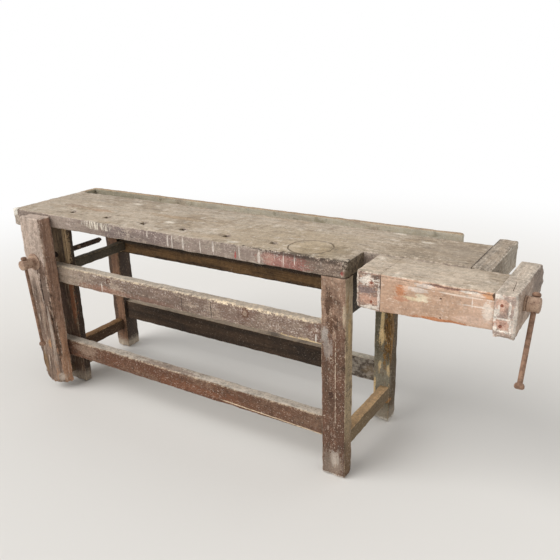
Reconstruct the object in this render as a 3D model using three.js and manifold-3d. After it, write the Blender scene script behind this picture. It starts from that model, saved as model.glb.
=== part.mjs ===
// An old carpenter's bench: a thick slab on four legs, a tool tray along its rear edge, a leg vise at the
// left of the front, and a tail vise that slides along a recess in the slab's right front corner.
// Millimetres, +Z up. X runs along the bench and Y to the rear, and the floor is Z = 0.
// While the pieces are made, X = 0 is the slab's jaw face at the recess and Y = 0 is its front face.

import * as THREE from 'three';
import { ConvexGeometry } from 'three/addons/geometries/ConvexGeometry.js';
import { mergeVertices } from 'three/addons/utils/BufferGeometryUtils.js';
import Module from 'manifold-3d';

const wasm = await Module();
wasm.setup();

// Driving dimensions: fits
const FIT = 0.3; // gap between pieces that touch
const BORE_PLAY = 0.8; // radial play of a rod that turns or slides in its hole
const SLIDE_PLAY = 2; // play of sliding timber against fixed timber

// Slab and its dog holes
const BENCH_HEIGHT = 800;
const SLAB_BODY_LENGTH = 1605; // left end, cap included, to the jaw face
const SLAB_DEPTH = 380;
const SLAB_THICKNESS = 57;
const SLAB_EDGE_BEVEL = 4;
const RECESS_LENGTH = 345;
const RECESS_DEPTH = 126;
const DOG_HOLE_COUNT = 6;
const DOG_HOLE_SIZE = 22;
const DOG_HOLE_PITCH = 199;
const DOG_HOLE_SETBACK = 76; // centres behind the front face
const DOG_HOLE_FIRST = 312; // first centre left of the jaw face

// Tool tray
const TRAY_WIDTH = 72;
const TRAY_FLOOR_THICKNESS = 14;
const TRAY_RABBET = 15;
const TRAY_END_THICKNESS = 25;
const TRAY_RIGHT_END_DROP = 28; // its top below the working face
const BACK_BOARD_THICKNESS = 24;
const BACK_BOARD_OVERRUN = 220; // right end past the jaw face
const BACK_NAIL_COUNT = 3;
const BACK_NAIL_END_MARGIN = 150;
const NAIL_DIAMETER = 5;
const NAIL_LENGTH = 58;
const NAIL_HEAD_DIAMETER = 12;
const NAIL_HEAD_THICKNESS = 2.5;

// Left end cap
const LEFT_CAP_WIDTH = 38;
const LEFT_CAP_HEIGHT = 72;
const LEFT_CAP_CORNER_RADIUS = 10;

// End cap, with the arm that holds the tail vise nut
const END_CAP_WIDTH = 60;
const END_CAP_HEIGHT = 92;
const END_CAP_OVERHANG = 82; // past the slab's rear edge
const CAP_TONGUE_LENGTH = 25;
const CAP_TONGUE_THICKNESS = 22;
const CAP_TONGUE_SETBACK = 20; // from the slab's long sides
const CAP_PEG_COUNT = 2;
const CAP_PEG_MARGIN = 50; // from the tongue's ends
const NUT_ARM_REACH = 116;

// Legs
const FRONT_RIGHT_LEG_WIDTH = 90;
const FRONT_RIGHT_LEG_DEPTH = 54;
const REAR_RIGHT_LEG_WIDTH = 68;
const REAR_RIGHT_LEG_DEPTH = 70;
const REAR_RIGHT_LEG_INSET = 12; // from the jaw face
const FRONT_LEFT_LEG_WIDTH = 156;
const FRONT_LEFT_LEG_DEPTH = 36;
const REAR_LEFT_LEG_WIDTH = 76;
const REAR_LEFT_LEG_DEPTH = 78;
const REAR_LEFT_LEG_OFFSET = 49; // its middle left of the leg vise screw
const REAR_LEG_SETBACK = 410; // front faces behind the slab's front face
const LEG_TOP_TENON = 26;

// Rails and stretchers
const TENON_SHOULDER = 10;
const TENON_LENGTH = 32;
const SHORT_TENON_LENGTH = 18; // into the thin left leg and the rear rail
const STRETCHER_SETBACK = 3;
const STRETCHER_DEPTH = 44;
const STRETCHER_HEIGHT = 76;
const STRETCHER_LEFT_INSET = 6; // from the left leg's left face
const UPPER_STRETCHER_DROP = 106; // its bottom below the leg vise screw
const LOWER_STRETCHER_BOTTOM = 152;
const REAR_RAIL_SETBACK = 16; // behind the rear legs' front faces
const REAR_UPPER_RAIL_THICKNESS = 34;
const REAR_UPPER_RAIL_HEIGHT = 110;
const REAR_UPPER_RAIL_DROP = 97; // its bottom below the leg vise screw
const REAR_LOWER_RAIL_THICKNESS = 38;
const REAR_LOWER_RAIL_HEIGHT = 90;
const REAR_LOWER_RAIL_BOTTOM = 160;
const SIDE_RAIL_THICKNESS = 40;
const LEFT_LOWER_RAIL_HEIGHT = 53;
const LEFT_LOWER_RAIL_BOTTOM = 100;
const LEFT_UPPER_RAIL_THICKNESS = 36;
const LEFT_UPPER_RAIL_HEIGHT = 42;
const LEFT_UPPER_RAIL_DROP = 83; // its bottom below the leg vise screw
const RIGHT_LOWER_RAIL_HEIGHT = 56;
const RIGHT_LOWER_RAIL_BOTTOM = 104;
const BEARER_THICKNESS = 34;
const RIGHT_BEARER_HEIGHT = 146;
const LEFT_BEARER_HEIGHT = 64;
const STRETCHER_PEG_SPREAD = 96;
const STRETCHER_PEG_DEPTH = 26; // into the left leg
const PEG_DIAMETER = 12;

// Leg vise timber
const LEG_VISE_OFFSET = 184; // screw right of the slab's left end
const LEG_SCREW_HEIGHT = 605;
const CHOP_WIDTH = 126;
const CHOP_THICKNESS = 64;
const CHOP_GAP = 2; // in front of the slab when closed
const CHOP_TOP_DROP = 6; // below the working face
const CHOP_FOOT_GAP = 30;
const CHOP_TAPER = 9;
const CHOP_FOOT_RADIUS = 34;
const CHOP_HEAD_RADIUS = 10;
const CHOP_CHAMFER_RISE = 588;
const CHOP_CHAMFER_WIDTH = 36;
const CHOP_CHAMFER_DEPTH = 24;
const GUIDE_BAR_WIDTH = 24;
const GUIDE_BAR_HEIGHT = 34;
const GUIDE_BAR_LIFT = 14; // above the chop's foot
const GUIDE_BAR_SOCKET = 44;
const GUIDE_BAR_REACH = 240; // rear end behind the slab's front face
const GUIDE_PEG_LENGTH = 84;
const GUIDE_PEG_DIAMETER = 10;
const GUIDE_PEG_SINK = 4; // below the chop's left face

// Tail vise timber
const TAIL_JAW_GAP = 54;
const TAIL_PROUD = 50; // ahead of the slab's front face
const TAIL_REAR_PLAY = 4;
const JAW_BLOCK_WIDTH = 82;
const JAW_HEIGHT = 120;
const JAW_CORNER_RADIUS = 16;
const FRONT_BOARD_LENGTH = 325;
const FRONT_BOARD_THICKNESS = 42;
const FRONT_BOARD_RISE = 12; // its lower edge climbs to the right
const FRONT_BOARD_TENON = 40;
const TOP_BOARD_THICKNESS = 22;
const END_BLOCK_WIDTH = 59;
const END_BLOCK_HEIGHT = 129;
const END_BLOCK_REACH = 174; // rear end behind the recess
const END_BLOCK_FOOT_CHAMFER = 12;
const END_BLOCK_HEEL_RISE = 36; // the underside climbs behind the recess
const END_BLOCK_HEEL_RADIUS = 30;
const END_BLOCK_HEAD_RADIUS = 62;
const RUNNER_THICKNESS = 24;
const RUNNER_WIDTH = 80;
const RUNNER_TONGUE = 13;
const RUNNER_TENON = 20;
const GUIDE_RAIL_WIDTH = 48;
const GUIDE_RAIL_LIP = 14;
const GUIDE_RAIL_INSET = 8; // from the jaw face
const GUIDE_SCREW_COUNT = 2;
const GUIDE_SCREW_DIAMETER = 8;
const GUIDE_SCREW_GRIP = 30; // into the slab
const GUIDE_SCREW_MARGIN = 60;
const TAIL_PEG_DIAMETER = 10;
const TAIL_PEG_LENGTH = 36;
const TAIL_PEG_SINK = 2;
const TAIL_PEG_FROM_TOP = 32; // below the working face
const TAIL_PEG_FROM_FOOT = 28; // above the jaw's foot
const TAIL_JAW_PEG_INSET = 29; // from the joint's shoulder
const TAIL_BLOCK_PEG_INSET = 20;
const TAIL_SCREW_SETBACK = 42; // behind the slab's front face
const TAIL_SCREW_DROP = 50; // below the working face

// Vise irons: both vises have the same kinds of piece in their own sizes
const THREAD_PITCH = 10;
const THREAD_DEPTH = 2.2;
const THREAD_SIDES = 10;
const THREAD_RINGS_PER_TURN = 3;
const ROUND_SIDES = 20;
const CURVE_SEGMENTS = 8; // per rounded corner
const SMALL_ROUND_SIDES = 12;
const SMALL_ROUND_RADIUS = 9; // pegs, pins and rods up to this radius
const GARTER_THICKNESS = 6;
const GARTER_HALF_WIDTH = 32;
const GARTER_HALF_HEIGHT = 26;
const GARTER_GROOVE_DEPTH = 4;
const GARTER_SCREW_SPREAD = 46;
const IRON_SCREW_DIAMETER = 5;
const IRON_SCREW_LENGTH = 24;
const IRON_SCREW_HEAD_DIAMETER = 10;
const IRON_SCREW_HEAD_THICKNESS = 2.4;
const NUT_BODY_RADIUS = 20;
const NUT_BODY_LENGTH = 28;
const NUT_FLANGE_RADIUS = 26;
const NUT_FLANGE_THICKNESS = 8;
const HUB_CHAMFER = 3;
const KNOB_RADIUS = 12;
const KNOB_HEIGHT = 12;
const KNOB_SIDE_HEIGHT = 7; // below its crown
const KNOB_CROWN_RADIUS = 8.5;
const KNOB_SPIGOT_RADIUS = 4;
const KNOB_SPIGOT_LENGTH = 8;
const HANDLE_FOOT_RADIUS = 14;
const HANDLE_FOOT_HEIGHT = 16;
const HANDLE_FOOT_BASE_RADIUS = 10;
const HANDLE_FOOT_BELLY_HEIGHT = 6; // of the widest ring above the base
const HANDLE_FOOT_NECK_RADIUS = 11;
const HANDLE_FOOT_NECK_HEIGHT = 12.5;

const LEG_IRONS = {
  shaftRadius: 12,
  flangeRadius: 36,
  flangeThickness: 8,
  hubRadius: 21,
  hubLength: 57,
  handleSetback: 18, // rod's middle in from the hub's end
  handleRadius: 6.5,
  handleDrop: 362, // below the screw
  handleTilt: 4.5, // degrees from plumb
  screwReach: 372, // tip behind the chop's front face
};
const TAIL_IRONS = {
  shaftRadius: 14,
  flangeRadius: 27,
  flangeThickness: 7,
  hubRadius: 23,
  hubLength: 34,
  handleSetback: 15,
  handleRadius: 7.5,
  handleDrop: 232,
  handleTilt: -25,
  screwReach: 335,
};

// Finishes
const finish = (colour, roughness, metalness) =>
  new THREE.MeshStandardMaterial({ color: colour, roughness, metalness });
const topWood = finish(0xa89a86, 0.85, 0);
const frameWood = finish(0x6f564a, 0.85, 0);
const darkWood = finish(0x4a3d36, 0.9, 0);
const railWood = finish(0x8f775c, 0.85, 0);
const viseWood = finish(0xb28f78, 0.8, 0);
const chopWood = finish(0x9c8373, 0.85, 0);
const pegWood = finish(0x6b4a35, 0.85, 0);
const rustyIron = finish(0x7d5b47, 0.7, 0.6);

// Places that several pieces share
const slabTop = BENCH_HEIGHT;
const slabBottom = BENCH_HEIGHT - SLAB_THICKNESS;
const slabLeft = -SLAB_BODY_LENGTH;
const leftCapX = [slabLeft, slabLeft + LEFT_CAP_WIDTH];
const plankLeft = leftCapX[1] + FIT;
const slabRight = RECESS_LENGTH;
const legTop = slabBottom - FIT;
const trayRear = SLAB_DEPTH + TRAY_WIDTH;
const trayRight = BACK_BOARD_OVERRUN;
const capBottom = slabTop - END_CAP_HEIGHT;
const capX = [slabRight + FIT, slabRight + FIT + END_CAP_WIDTH];
const legScrewX = slabLeft + LEG_VISE_OFFSET;
const chopFront = -CHOP_GAP - CHOP_THICKNESS;
const chopFoot = CHOP_FOOT_GAP;
const stretcherY = [STRETCHER_SETBACK, STRETCHER_SETBACK + STRETCHER_DEPTH];
const frontLeftLegY = [stretcherY[1] + FIT, stretcherY[1] + FIT + FRONT_LEFT_LEG_DEPTH];
const guideBarX = [legScrewX - GUIDE_BAR_WIDTH / 2, legScrewX + GUIDE_BAR_WIDTH / 2];
const guideBarZ = [chopFoot + GUIDE_BAR_LIFT, chopFoot + GUIDE_BAR_LIFT + GUIDE_BAR_HEIGHT];
const guidePegY = -CHOP_GAP - GUIDE_BAR_SOCKET / 2;
const guidePegZ = (guideBarZ[0] + guideBarZ[1]) / 2;
const tailFront = -TAIL_PROUD;
const tailRear = RECESS_DEPTH - TAIL_REAR_PLAY;
const jawX = [TAIL_JAW_GAP, TAIL_JAW_GAP + JAW_BLOCK_WIDTH];
const frontBoardX = [jawX[1] + FIT, jawX[1] + FIT + FRONT_BOARD_LENGTH];
const endBlockX = [frontBoardX[1] + FIT, frontBoardX[1] + FIT + END_BLOCK_WIDTH];
const jawFoot = slabTop - JAW_HEIGHT;
const frontBoardTop = slabTop - TOP_BOARD_THICKNESS - FIT;
const frontBoardY = [tailFront, tailFront + FRONT_BOARD_THICKNESS];
const runnerZ = [capBottom - SLIDE_PLAY - RUNNER_THICKNESS, capBottom - SLIDE_PLAY];
const runnerRear = RECESS_DEPTH + FIT + RUNNER_TONGUE;
const runnerY = [runnerRear - RUNNER_WIDTH, runnerRear];
const guideRailX = [GUIDE_RAIL_INSET, slabRight - FIT];
const guideRailY = [RECESS_DEPTH + FIT, RECESS_DEPTH + FIT + GUIDE_RAIL_WIDTH];
const guideRailZ = [runnerZ[0] - GUIDE_RAIL_LIP, legTop];
const tailScrewZ = slabTop - TAIL_SCREW_DROP;

// Small solid-making tools
function solidOf(geometry) {
  const bare = geometry.clone();
  bare.deleteAttribute('normal');
  bare.deleteAttribute('uv');
  const welded = mergeVertices(bare, 1e-4);
  const vertProperties = new Float32Array(welded.attributes.position.array);
  const triVerts = new Uint32Array(welded.index.array);
  return new wasm.Manifold(new wasm.Mesh({ numProp: 3, vertProperties, triVerts }));
}

function geometryOf(solid) {
  const mesh = solid.getMesh();
  const geometry = new THREE.BufferGeometry();
  geometry.setAttribute('position', new THREE.BufferAttribute(mesh.vertProperties, mesh.numProp));
  geometry.setIndex(new THREE.BufferAttribute(mesh.triVerts, 1));
  return geometry;
}

function cut(geometry, tools) {
  return geometryOf(tools.reduce((solid, tool) => solid.subtract(solidOf(tool)), solidOf(geometry)));
}

function join(geometry, additions) {
  return geometryOf(additions.reduce((solid, added) => solid.add(solidOf(added)), solidOf(geometry)));
}

function timber([x0, x1], [y0, y1], [z0, z1]) {
  const box = new THREE.BoxGeometry(x1 - x0, y1 - y0, z1 - z0);
  return box.translate((x0 + x1) / 2, (y0 + y1) / 2, (z0 + z1) / 2);
}

const grow = ([low, high], by) => [low - by, high + by];
const shrink = ([low, high], by) => [low + by, high - by];
const middle = ([low, high]) => (low + high) / 2;

const roundSides = (radius) => (radius > SMALL_ROUND_RADIUS ? ROUND_SIDES : SMALL_ROUND_SIDES);

function rod(axis, radius, [start, end], [a, b]) {
  const geometry = new THREE.CylinderGeometry(radius, radius, end - start, roundSides(radius));
  geometry.translate(0, (start + end) / 2, 0);
  if (axis === 'x') return geometry.rotateZ(-Math.PI / 2).translate(0, a, b);
  if (axis === 'z') return geometry.rotateX(Math.PI / 2).translate(a, b, 0);
  return geometry.translate(a, 0, b);
}

// A plate drawn in X and Z, and given its thickness along Y
function plate(shape, [y0, y1]) {
  const options = { depth: y1 - y0, bevelEnabled: false, curveSegments: CURVE_SEGMENTS };
  const geometry = new THREE.ExtrudeGeometry(shape, options);
  return geometry.rotateX(Math.PI / 2).translate(0, y1, 0);
}

function turned(profile) {
  const sides = roundSides(Math.max(...profile.map(([r]) => r)));
  return new THREE.LatheGeometry(profile.map(([r, y]) => new THREE.Vector2(r, y)), sides);
}

function evenly(count, [start, end]) {
  return Array.from({ length: count }, (_, i) => start + ((end - start) * (i + 0.5)) / count);
}

function addPiece(parent, name, geometry, material) {
  const mesh = new THREE.Mesh(geometry, material);
  mesh.name = name;
  parent.add(mesh);
  return mesh;
}

// A rail with a tenon on each end, and the two mortises that the tenons fit
function tenonedRail(axis, [start, end], across, height, [startTenon, endTenon]) {
  const box = (along, side, up) => (axis === 'x' ? timber(along, side, up) : timber(side, along, up));
  const tenonAcross = shrink(across, TENON_SHOULDER);
  const tenonHeight = shrink(height, TENON_SHOULDER);
  const tenon = box([start - startTenon, end + endTenon], tenonAcross, tenonHeight);
  const mortise = (along) => box(along, grow(tenonAcross, FIT), grow(tenonHeight, FIT));
  return {
    geometry: join(box([start, end], across, height), [tenon]),
    startMortise: mortise([start - startTenon - FIT, start + FIT]),
    endMortise: mortise([end - FIT, end + endTenon + FIT]),
  };
}

// A round fastener along Y, its head at y = 0 and its shank towards negative y
function headedPin(shankRadius, shankLength, headRadius, headThickness) {
  return turned([
    [0, -shankLength],
    [shankRadius, -shankLength],
    [shankRadius, 0],
    [headRadius, 0],
    [headRadius, headThickness],
    [0, headThickness],
  ]);
}

const bench = new THREE.Group();

// Legs: plain posts, the two front ones with a stub tenon that enters the slab
const legRanges = {
  frontRight: { x: [-FRONT_RIGHT_LEG_WIDTH, 0], y: [0, FRONT_RIGHT_LEG_DEPTH] },
  rearRight: {
    x: [-REAR_RIGHT_LEG_INSET - REAR_RIGHT_LEG_WIDTH, -REAR_RIGHT_LEG_INSET],
    y: [REAR_LEG_SETBACK, REAR_LEG_SETBACK + REAR_RIGHT_LEG_DEPTH],
  },
  frontLeft: {
    x: [legScrewX - FRONT_LEFT_LEG_WIDTH / 2, legScrewX + FRONT_LEFT_LEG_WIDTH / 2],
    y: frontLeftLegY,
  },
  rearLeft: {
    x: grow([legScrewX - REAR_LEFT_LEG_OFFSET, legScrewX - REAR_LEFT_LEG_OFFSET], REAR_LEFT_LEG_WIDTH / 2),
    y: [REAR_LEG_SETBACK, REAR_LEG_SETBACK + REAR_LEFT_LEG_DEPTH],
  },
};

function legTopTenon({ x, y }) {
  const tenonX = shrink(x, TENON_SHOULDER);
  const tenonY = shrink(y, TENON_SHOULDER);
  const tenonZ = [legTop - TENON_SHOULDER, slabBottom + LEG_TOP_TENON];
  return {
    tenon: timber(tenonX, tenonY, tenonZ),
    mortise: timber(grow(tenonX, FIT), grow(tenonY, FIT), grow(tenonZ, FIT)),
  };
}
const frontRightTop = legTopTenon(legRanges.frontRight);
const frontLeftTop = legTopTenon(legRanges.frontLeft);

// Front stretchers: tenoned into the right leg, lapped and pegged over the left leg's front
const stretcherX = [legRanges.frontLeft.x[0] + STRETCHER_LEFT_INSET, legRanges.frontRight.x[0] - FIT];
const stretcherPegX = [legScrewX - STRETCHER_PEG_SPREAD / 2, legScrewX + STRETCHER_PEG_SPREAD / 2];
const stretcherPegY = [stretcherY[0], stretcherY[1] + FIT + STRETCHER_PEG_DEPTH];
const stretcherPegHole = (x, z) =>
  rod('y', PEG_DIAMETER / 2 + FIT, [stretcherPegY[0] - FIT, stretcherPegY[1] + FIT], [x, z]);

const stretchers = [
  { name: 'upper', bottom: LEG_SCREW_HEIGHT - UPPER_STRETCHER_DROP },
  { name: 'lower', bottom: LOWER_STRETCHER_BOTTOM },
].map(({ name, bottom }) => {
  const height = [bottom, bottom + STRETCHER_HEIGHT];
  const rail = tenonedRail('x', stretcherX, stretcherY, height, [0, TENON_LENGTH]);
  const holes = stretcherPegX.map((x) => stretcherPegHole(x, middle(height)));
  return { name, height, rail, holes };
});
for (const { name, height, rail, holes } of stretchers) {
  addPiece(bench, `front_${name}_stretcher`, cut(rail.geometry, holes), frameWood);
  stretcherPegX.forEach((x, i) => {
    const peg = rod('y', PEG_DIAMETER / 2, stretcherPegY, [x, middle(height)]);
    addPiece(bench, `${name}_stretcher_peg_${i + 1}`, peg, pegWood);
  });
}

// Rear rails between the rear legs, side rails and the bearers that carry the slab
const rearRailY = (thickness) => [
  REAR_LEG_SETBACK + REAR_RAIL_SETBACK,
  REAR_LEG_SETBACK + REAR_RAIL_SETBACK + thickness,
];
const rearRailX = [legRanges.rearLeft.x[1] + FIT, legRanges.rearRight.x[0] - FIT];
const rearUpperY = rearRailY(REAR_UPPER_RAIL_THICKNESS);
const rearUpperBottom = LEG_SCREW_HEIGHT - REAR_UPPER_RAIL_DROP;
const rearUpperZ = [rearUpperBottom, rearUpperBottom + REAR_UPPER_RAIL_HEIGHT];
const rearUpperRail = tenonedRail('x', rearRailX, rearUpperY, rearUpperZ, [TENON_LENGTH, TENON_LENGTH]);
const rearLowerZ = [REAR_LOWER_RAIL_BOTTOM, REAR_LOWER_RAIL_BOTTOM + REAR_LOWER_RAIL_HEIGHT];
const rearLowerRail = tenonedRail(
  'x', rearRailX, rearRailY(REAR_LOWER_RAIL_THICKNESS), rearLowerZ, [TENON_LENGTH, TENON_LENGTH],
);

const leftRailY = [frontLeftLegY[1] + FIT, legRanges.rearLeft.y[0] - FIT];
const leftLowerX = grow(Array(2).fill(middle(legRanges.rearLeft.x)), SIDE_RAIL_THICKNESS / 2);
const leftLowerZ = [LEFT_LOWER_RAIL_BOTTOM, LEFT_LOWER_RAIL_BOTTOM + LEFT_LOWER_RAIL_HEIGHT];
const leftLowerRail = tenonedRail('y', leftRailY, leftLowerX, leftLowerZ, [SHORT_TENON_LENGTH, TENON_LENGTH]);

const leftUpperStart = legRanges.rearLeft.x[1] + SLIDE_PLAY;
const leftUpperX = [leftUpperStart, leftUpperStart + LEFT_UPPER_RAIL_THICKNESS];
const leftUpperY = [frontLeftLegY[1] + FIT, rearUpperY[0] - FIT];
const leftUpperBottom = LEG_SCREW_HEIGHT - LEFT_UPPER_RAIL_DROP;
const leftUpperZ = [leftUpperBottom, leftUpperBottom + LEFT_UPPER_RAIL_HEIGHT];
const leftUpperRail = tenonedRail(
  'y', leftUpperY, leftUpperX, leftUpperZ, [SHORT_TENON_LENGTH, SHORT_TENON_LENGTH],
);

const leftBearerX = grow(Array(2).fill(middle(legRanges.rearLeft.x)), BEARER_THICKNESS / 2);
const leftBearerZ = [legTop - LEFT_BEARER_HEIGHT, legTop];
const leftBearer = tenonedRail('y', leftRailY, leftBearerX, leftBearerZ, [SHORT_TENON_LENGTH, TENON_LENGTH]);

const rightRailY = [FRONT_RIGHT_LEG_DEPTH + FIT, legRanges.rearRight.y[0] - FIT];
const rightRailX = (thickness) => [legRanges.rearRight.x[1] - thickness, legRanges.rearRight.x[1]];
const rightLowerZ = [RIGHT_LOWER_RAIL_BOTTOM, RIGHT_LOWER_RAIL_BOTTOM + RIGHT_LOWER_RAIL_HEIGHT];
const rightLowerRail = tenonedRail(
  'y', rightRailY, rightRailX(SIDE_RAIL_THICKNESS), rightLowerZ, [TENON_LENGTH, TENON_LENGTH],
);
const rightBearerZ = [legTop - RIGHT_BEARER_HEIGHT, legTop];
const rightBearer = tenonedRail(
  'y', rightRailY, rightRailX(BEARER_THICKNESS), rightBearerZ, [TENON_LENGTH, TENON_LENGTH],
);

addPiece(bench, 'rear_upper_rail', cut(rearUpperRail.geometry, [leftUpperRail.endMortise]), railWood);
addPiece(bench, 'rear_lower_rail', rearLowerRail.geometry, darkWood);
addPiece(bench, 'left_lower_side_rail', leftLowerRail.geometry, railWood);
addPiece(bench, 'left_upper_side_rail', leftUpperRail.geometry, railWood);
addPiece(bench, 'left_top_bearer', leftBearer.geometry, darkWood);
addPiece(bench, 'right_lower_side_rail', rightLowerRail.geometry, railWood);
addPiece(bench, 'right_top_bearer', rightBearer.geometry, darkWood);

// Left leg: also bored for the leg vise screw and its nut, and mortised for the sliding guide bar
const legNutFace = frontLeftLegY[1];
const legScrewPlace = [legScrewX, LEG_SCREW_HEIGHT];
const screwBore = (axis, irons, along, place) => rod(axis, irons.shaftRadius + BORE_PLAY, along, place);
const nutBore = (axis, along, place) => rod(axis, NUT_BODY_RADIUS + FIT, grow(along, FIT), place);
const guideBarSlot = timber(grow(guideBarX, BORE_PLAY), grow(frontLeftLegY, FIT), grow(guideBarZ, BORE_PLAY));

const legPost = ({ x, y }) => timber(x, y, [0, legTop]);
addPiece(
  bench,
  'front_right_leg',
  cut(join(legPost(legRanges.frontRight), [frontRightTop.tenon]), [
    ...stretchers.map(({ rail }) => rail.endMortise),
    rightLowerRail.startMortise,
    rightBearer.startMortise,
  ]),
  frameWood,
);
addPiece(
  bench,
  'rear_right_leg',
  cut(legPost(legRanges.rearRight), [
    rearUpperRail.endMortise,
    rearLowerRail.endMortise,
    rightLowerRail.endMortise,
    rightBearer.endMortise,
  ]),
  darkWood,
);
addPiece(
  bench,
  'front_left_leg',
  cut(join(legPost(legRanges.frontLeft), [frontLeftTop.tenon]), [
    ...stretchers.flatMap(({ holes }) => holes),
    leftLowerRail.startMortise,
    leftUpperRail.startMortise,
    leftBearer.startMortise,
    screwBore('y', LEG_IRONS, grow(frontLeftLegY, FIT), legScrewPlace),
    nutBore('y', [legNutFace - NUT_BODY_LENGTH, legNutFace], legScrewPlace),
    guideBarSlot,
  ]),
  frameWood,
);
addPiece(
  bench,
  'rear_left_leg',
  cut(legPost(legRanges.rearLeft), [
    rearUpperRail.startMortise,
    rearLowerRail.startMortise,
    leftLowerRail.endMortise,
    leftBearer.endMortise,
  ]),
  darkWood,
);

// Slab: one plank with a recess for the tail vise, square dog holes and a tongue at either end for a cap
function slabOutline() {
  const outline = new THREE.Shape();
  outline.moveTo(plankLeft, 0);
  outline.lineTo(0, 0);
  outline.lineTo(0, RECESS_DEPTH);
  outline.lineTo(slabRight, RECESS_DEPTH);
  outline.lineTo(slabRight, SLAB_DEPTH);
  outline.lineTo(plankLeft, SLAB_DEPTH);
  outline.closePath();
  return outline;
}
const bevelledPlank = (outline, [z0, z1]) =>
  new THREE.ExtrudeGeometry(outline, {
    depth: z1 - z0 - 2 * SLAB_EDGE_BEVEL,
    bevelThickness: SLAB_EDGE_BEVEL,
    bevelSize: SLAB_EDGE_BEVEL,
    bevelOffset: -SLAB_EDGE_BEVEL,
    bevelSegments: 1,
    curveSegments: CURVE_SEGMENTS,
  }).translate(0, 0, z0 + SLAB_EDGE_BEVEL);
const slabBlank = bevelledPlank(slabOutline(), [slabBottom, slabTop]);

const dogHoles = Array.from({ length: DOG_HOLE_COUNT }, (_, i) => {
  const x = -DOG_HOLE_FIRST - i * DOG_HOLE_PITCH;
  const y = DOG_HOLE_SETBACK;
  const side = DOG_HOLE_SIZE / 2;
  return timber(grow([x, x], side), grow([y, y], side), grow([slabBottom, slabTop], FIT));
});
const trayRabbetY = [SLAB_DEPTH - TRAY_RABBET, SLAB_DEPTH + FIT];
const trayRabbetZ = [slabBottom - FIT, slabBottom + TRAY_FLOOR_THICKNESS + FIT];
const trayRabbet = timber([slabLeft, trayRight], trayRabbetY, trayRabbetZ);
const tongueY = shrink([RECESS_DEPTH, SLAB_DEPTH], CAP_TONGUE_SETBACK);
const tongueMiddle = Array(2).fill(slabTop - SLAB_THICKNESS / 2);
const tongueZ = grow(tongueMiddle, CAP_TONGUE_THICKNESS / 2);
const capTongue = timber([slabRight - CAP_TONGUE_LENGTH, slabRight + CAP_TONGUE_LENGTH], tongueY, tongueZ);
const leftTongueY = shrink([0, SLAB_DEPTH], CAP_TONGUE_SETBACK);
const leftTongueX = grow([plankLeft, plankLeft], CAP_TONGUE_LENGTH);
const leftTongue = timber(leftTongueX, leftTongueY, tongueZ);
const capPegX = slabRight + CAP_TONGUE_LENGTH / 2;
const capPegZ = [capBottom, tongueZ[1]];
const capPegY = evenly(CAP_PEG_COUNT, shrink(tongueY, CAP_PEG_MARGIN / 2));
const capPegHoles = capPegY.map((y) => rod('z', PEG_DIAMETER / 2 + FIT, grow(capPegZ, FIT), [capPegX, y]));
const guideScrewX = evenly(GUIDE_SCREW_COUNT, shrink(guideRailX, GUIDE_SCREW_MARGIN / 2));
const guideScrewZ = [guideRailZ[0], slabBottom + GUIDE_SCREW_GRIP];
const guideScrewHoles = guideScrewX.map((x) =>
  rod('z', GUIDE_SCREW_DIAMETER / 2 + FIT, grow(guideScrewZ, FIT), [x, middle(guideRailY)]));

addPiece(
  bench,
  'top_slab',
  cut(join(slabBlank, [capTongue, leftTongue]), [
    ...dogHoles,
    trayRabbet,
    frontRightTop.mortise,
    frontLeftTop.mortise,
    ...capPegHoles,
    ...guideScrewHoles,
  ]),
  topWood,
);

// Left end cap: a cleat with a worn front corner, grooved over the slab's tongue and the tray floor
function leftCapOutline() {
  const radius = LEFT_CAP_CORNER_RADIUS;
  const outline = new THREE.Shape();
  outline.moveTo(leftCapX[0] + radius, 0);
  outline.lineTo(leftCapX[1], 0);
  outline.lineTo(leftCapX[1], SLAB_DEPTH);
  outline.lineTo(leftCapX[0], SLAB_DEPTH);
  outline.lineTo(leftCapX[0], radius);
  outline.absarc(leftCapX[0] + radius, radius, radius, Math.PI, 1.5 * Math.PI, false);
  return outline;
}
const leftCapBlank = bevelledPlank(leftCapOutline(), [slabTop - LEFT_CAP_HEIGHT, slabTop]);
const leftCapGroove = timber([leftTongueX[0] - FIT, plankLeft], grow(leftTongueY, FIT), grow(tongueZ, FIT));
const leftCapNotch = timber([slabLeft + TRAY_END_THICKNESS, plankLeft], trayRabbetY, trayRabbetZ);
addPiece(bench, 'left_end_cap', cut(leftCapBlank, [leftCapGroove, leftCapNotch]), topWood);

// Tool tray behind the slab: a floor let into the slab's rabbet, two ends and a nailed back board
const backBoardY = [trayRear + FIT, trayRear + FIT + BACK_BOARD_THICKNESS];
const trayZ = [slabBottom, slabTop];
const nailZ = slabBottom + TRAY_FLOOR_THICKNESS / 2;
const nailX = evenly(BACK_NAIL_COUNT, shrink([slabLeft, trayRight], BACK_NAIL_END_MARGIN / 2));
const nailHoles = nailX.map((x) =>
  rod('y', NAIL_DIAMETER / 2 + FIT, [backBoardY[1] - NAIL_LENGTH - FIT, backBoardY[1] + FIT], [x, nailZ]));
const trayFloor = timber(
  shrink([slabLeft, trayRight], TRAY_END_THICKNESS + FIT),
  [SLAB_DEPTH - TRAY_RABBET + FIT, trayRear],
  [slabBottom, slabBottom + TRAY_FLOOR_THICKNESS],
);
const backBoard = timber([slabLeft, trayRight], backBoardY, trayZ);
const trayEndY = [SLAB_DEPTH + FIT, trayRear];
addPiece(bench, 'tray_floor', cut(trayFloor, nailHoles), railWood);
addPiece(bench, 'tray_back_board', cut(backBoard, nailHoles), topWood);
const trayLeftX = [slabLeft, slabLeft + TRAY_END_THICKNESS];
const trayRightX = [trayRight - TRAY_END_THICKNESS, trayRight];
addPiece(bench, 'tray_left_end', timber(trayLeftX, trayEndY, trayZ), topWood);
const trayRightZ = [slabBottom, slabTop - TRAY_RIGHT_END_DROP];
addPiece(bench, 'tray_right_end', timber(trayRightX, trayEndY, trayRightZ), topWood);
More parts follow.
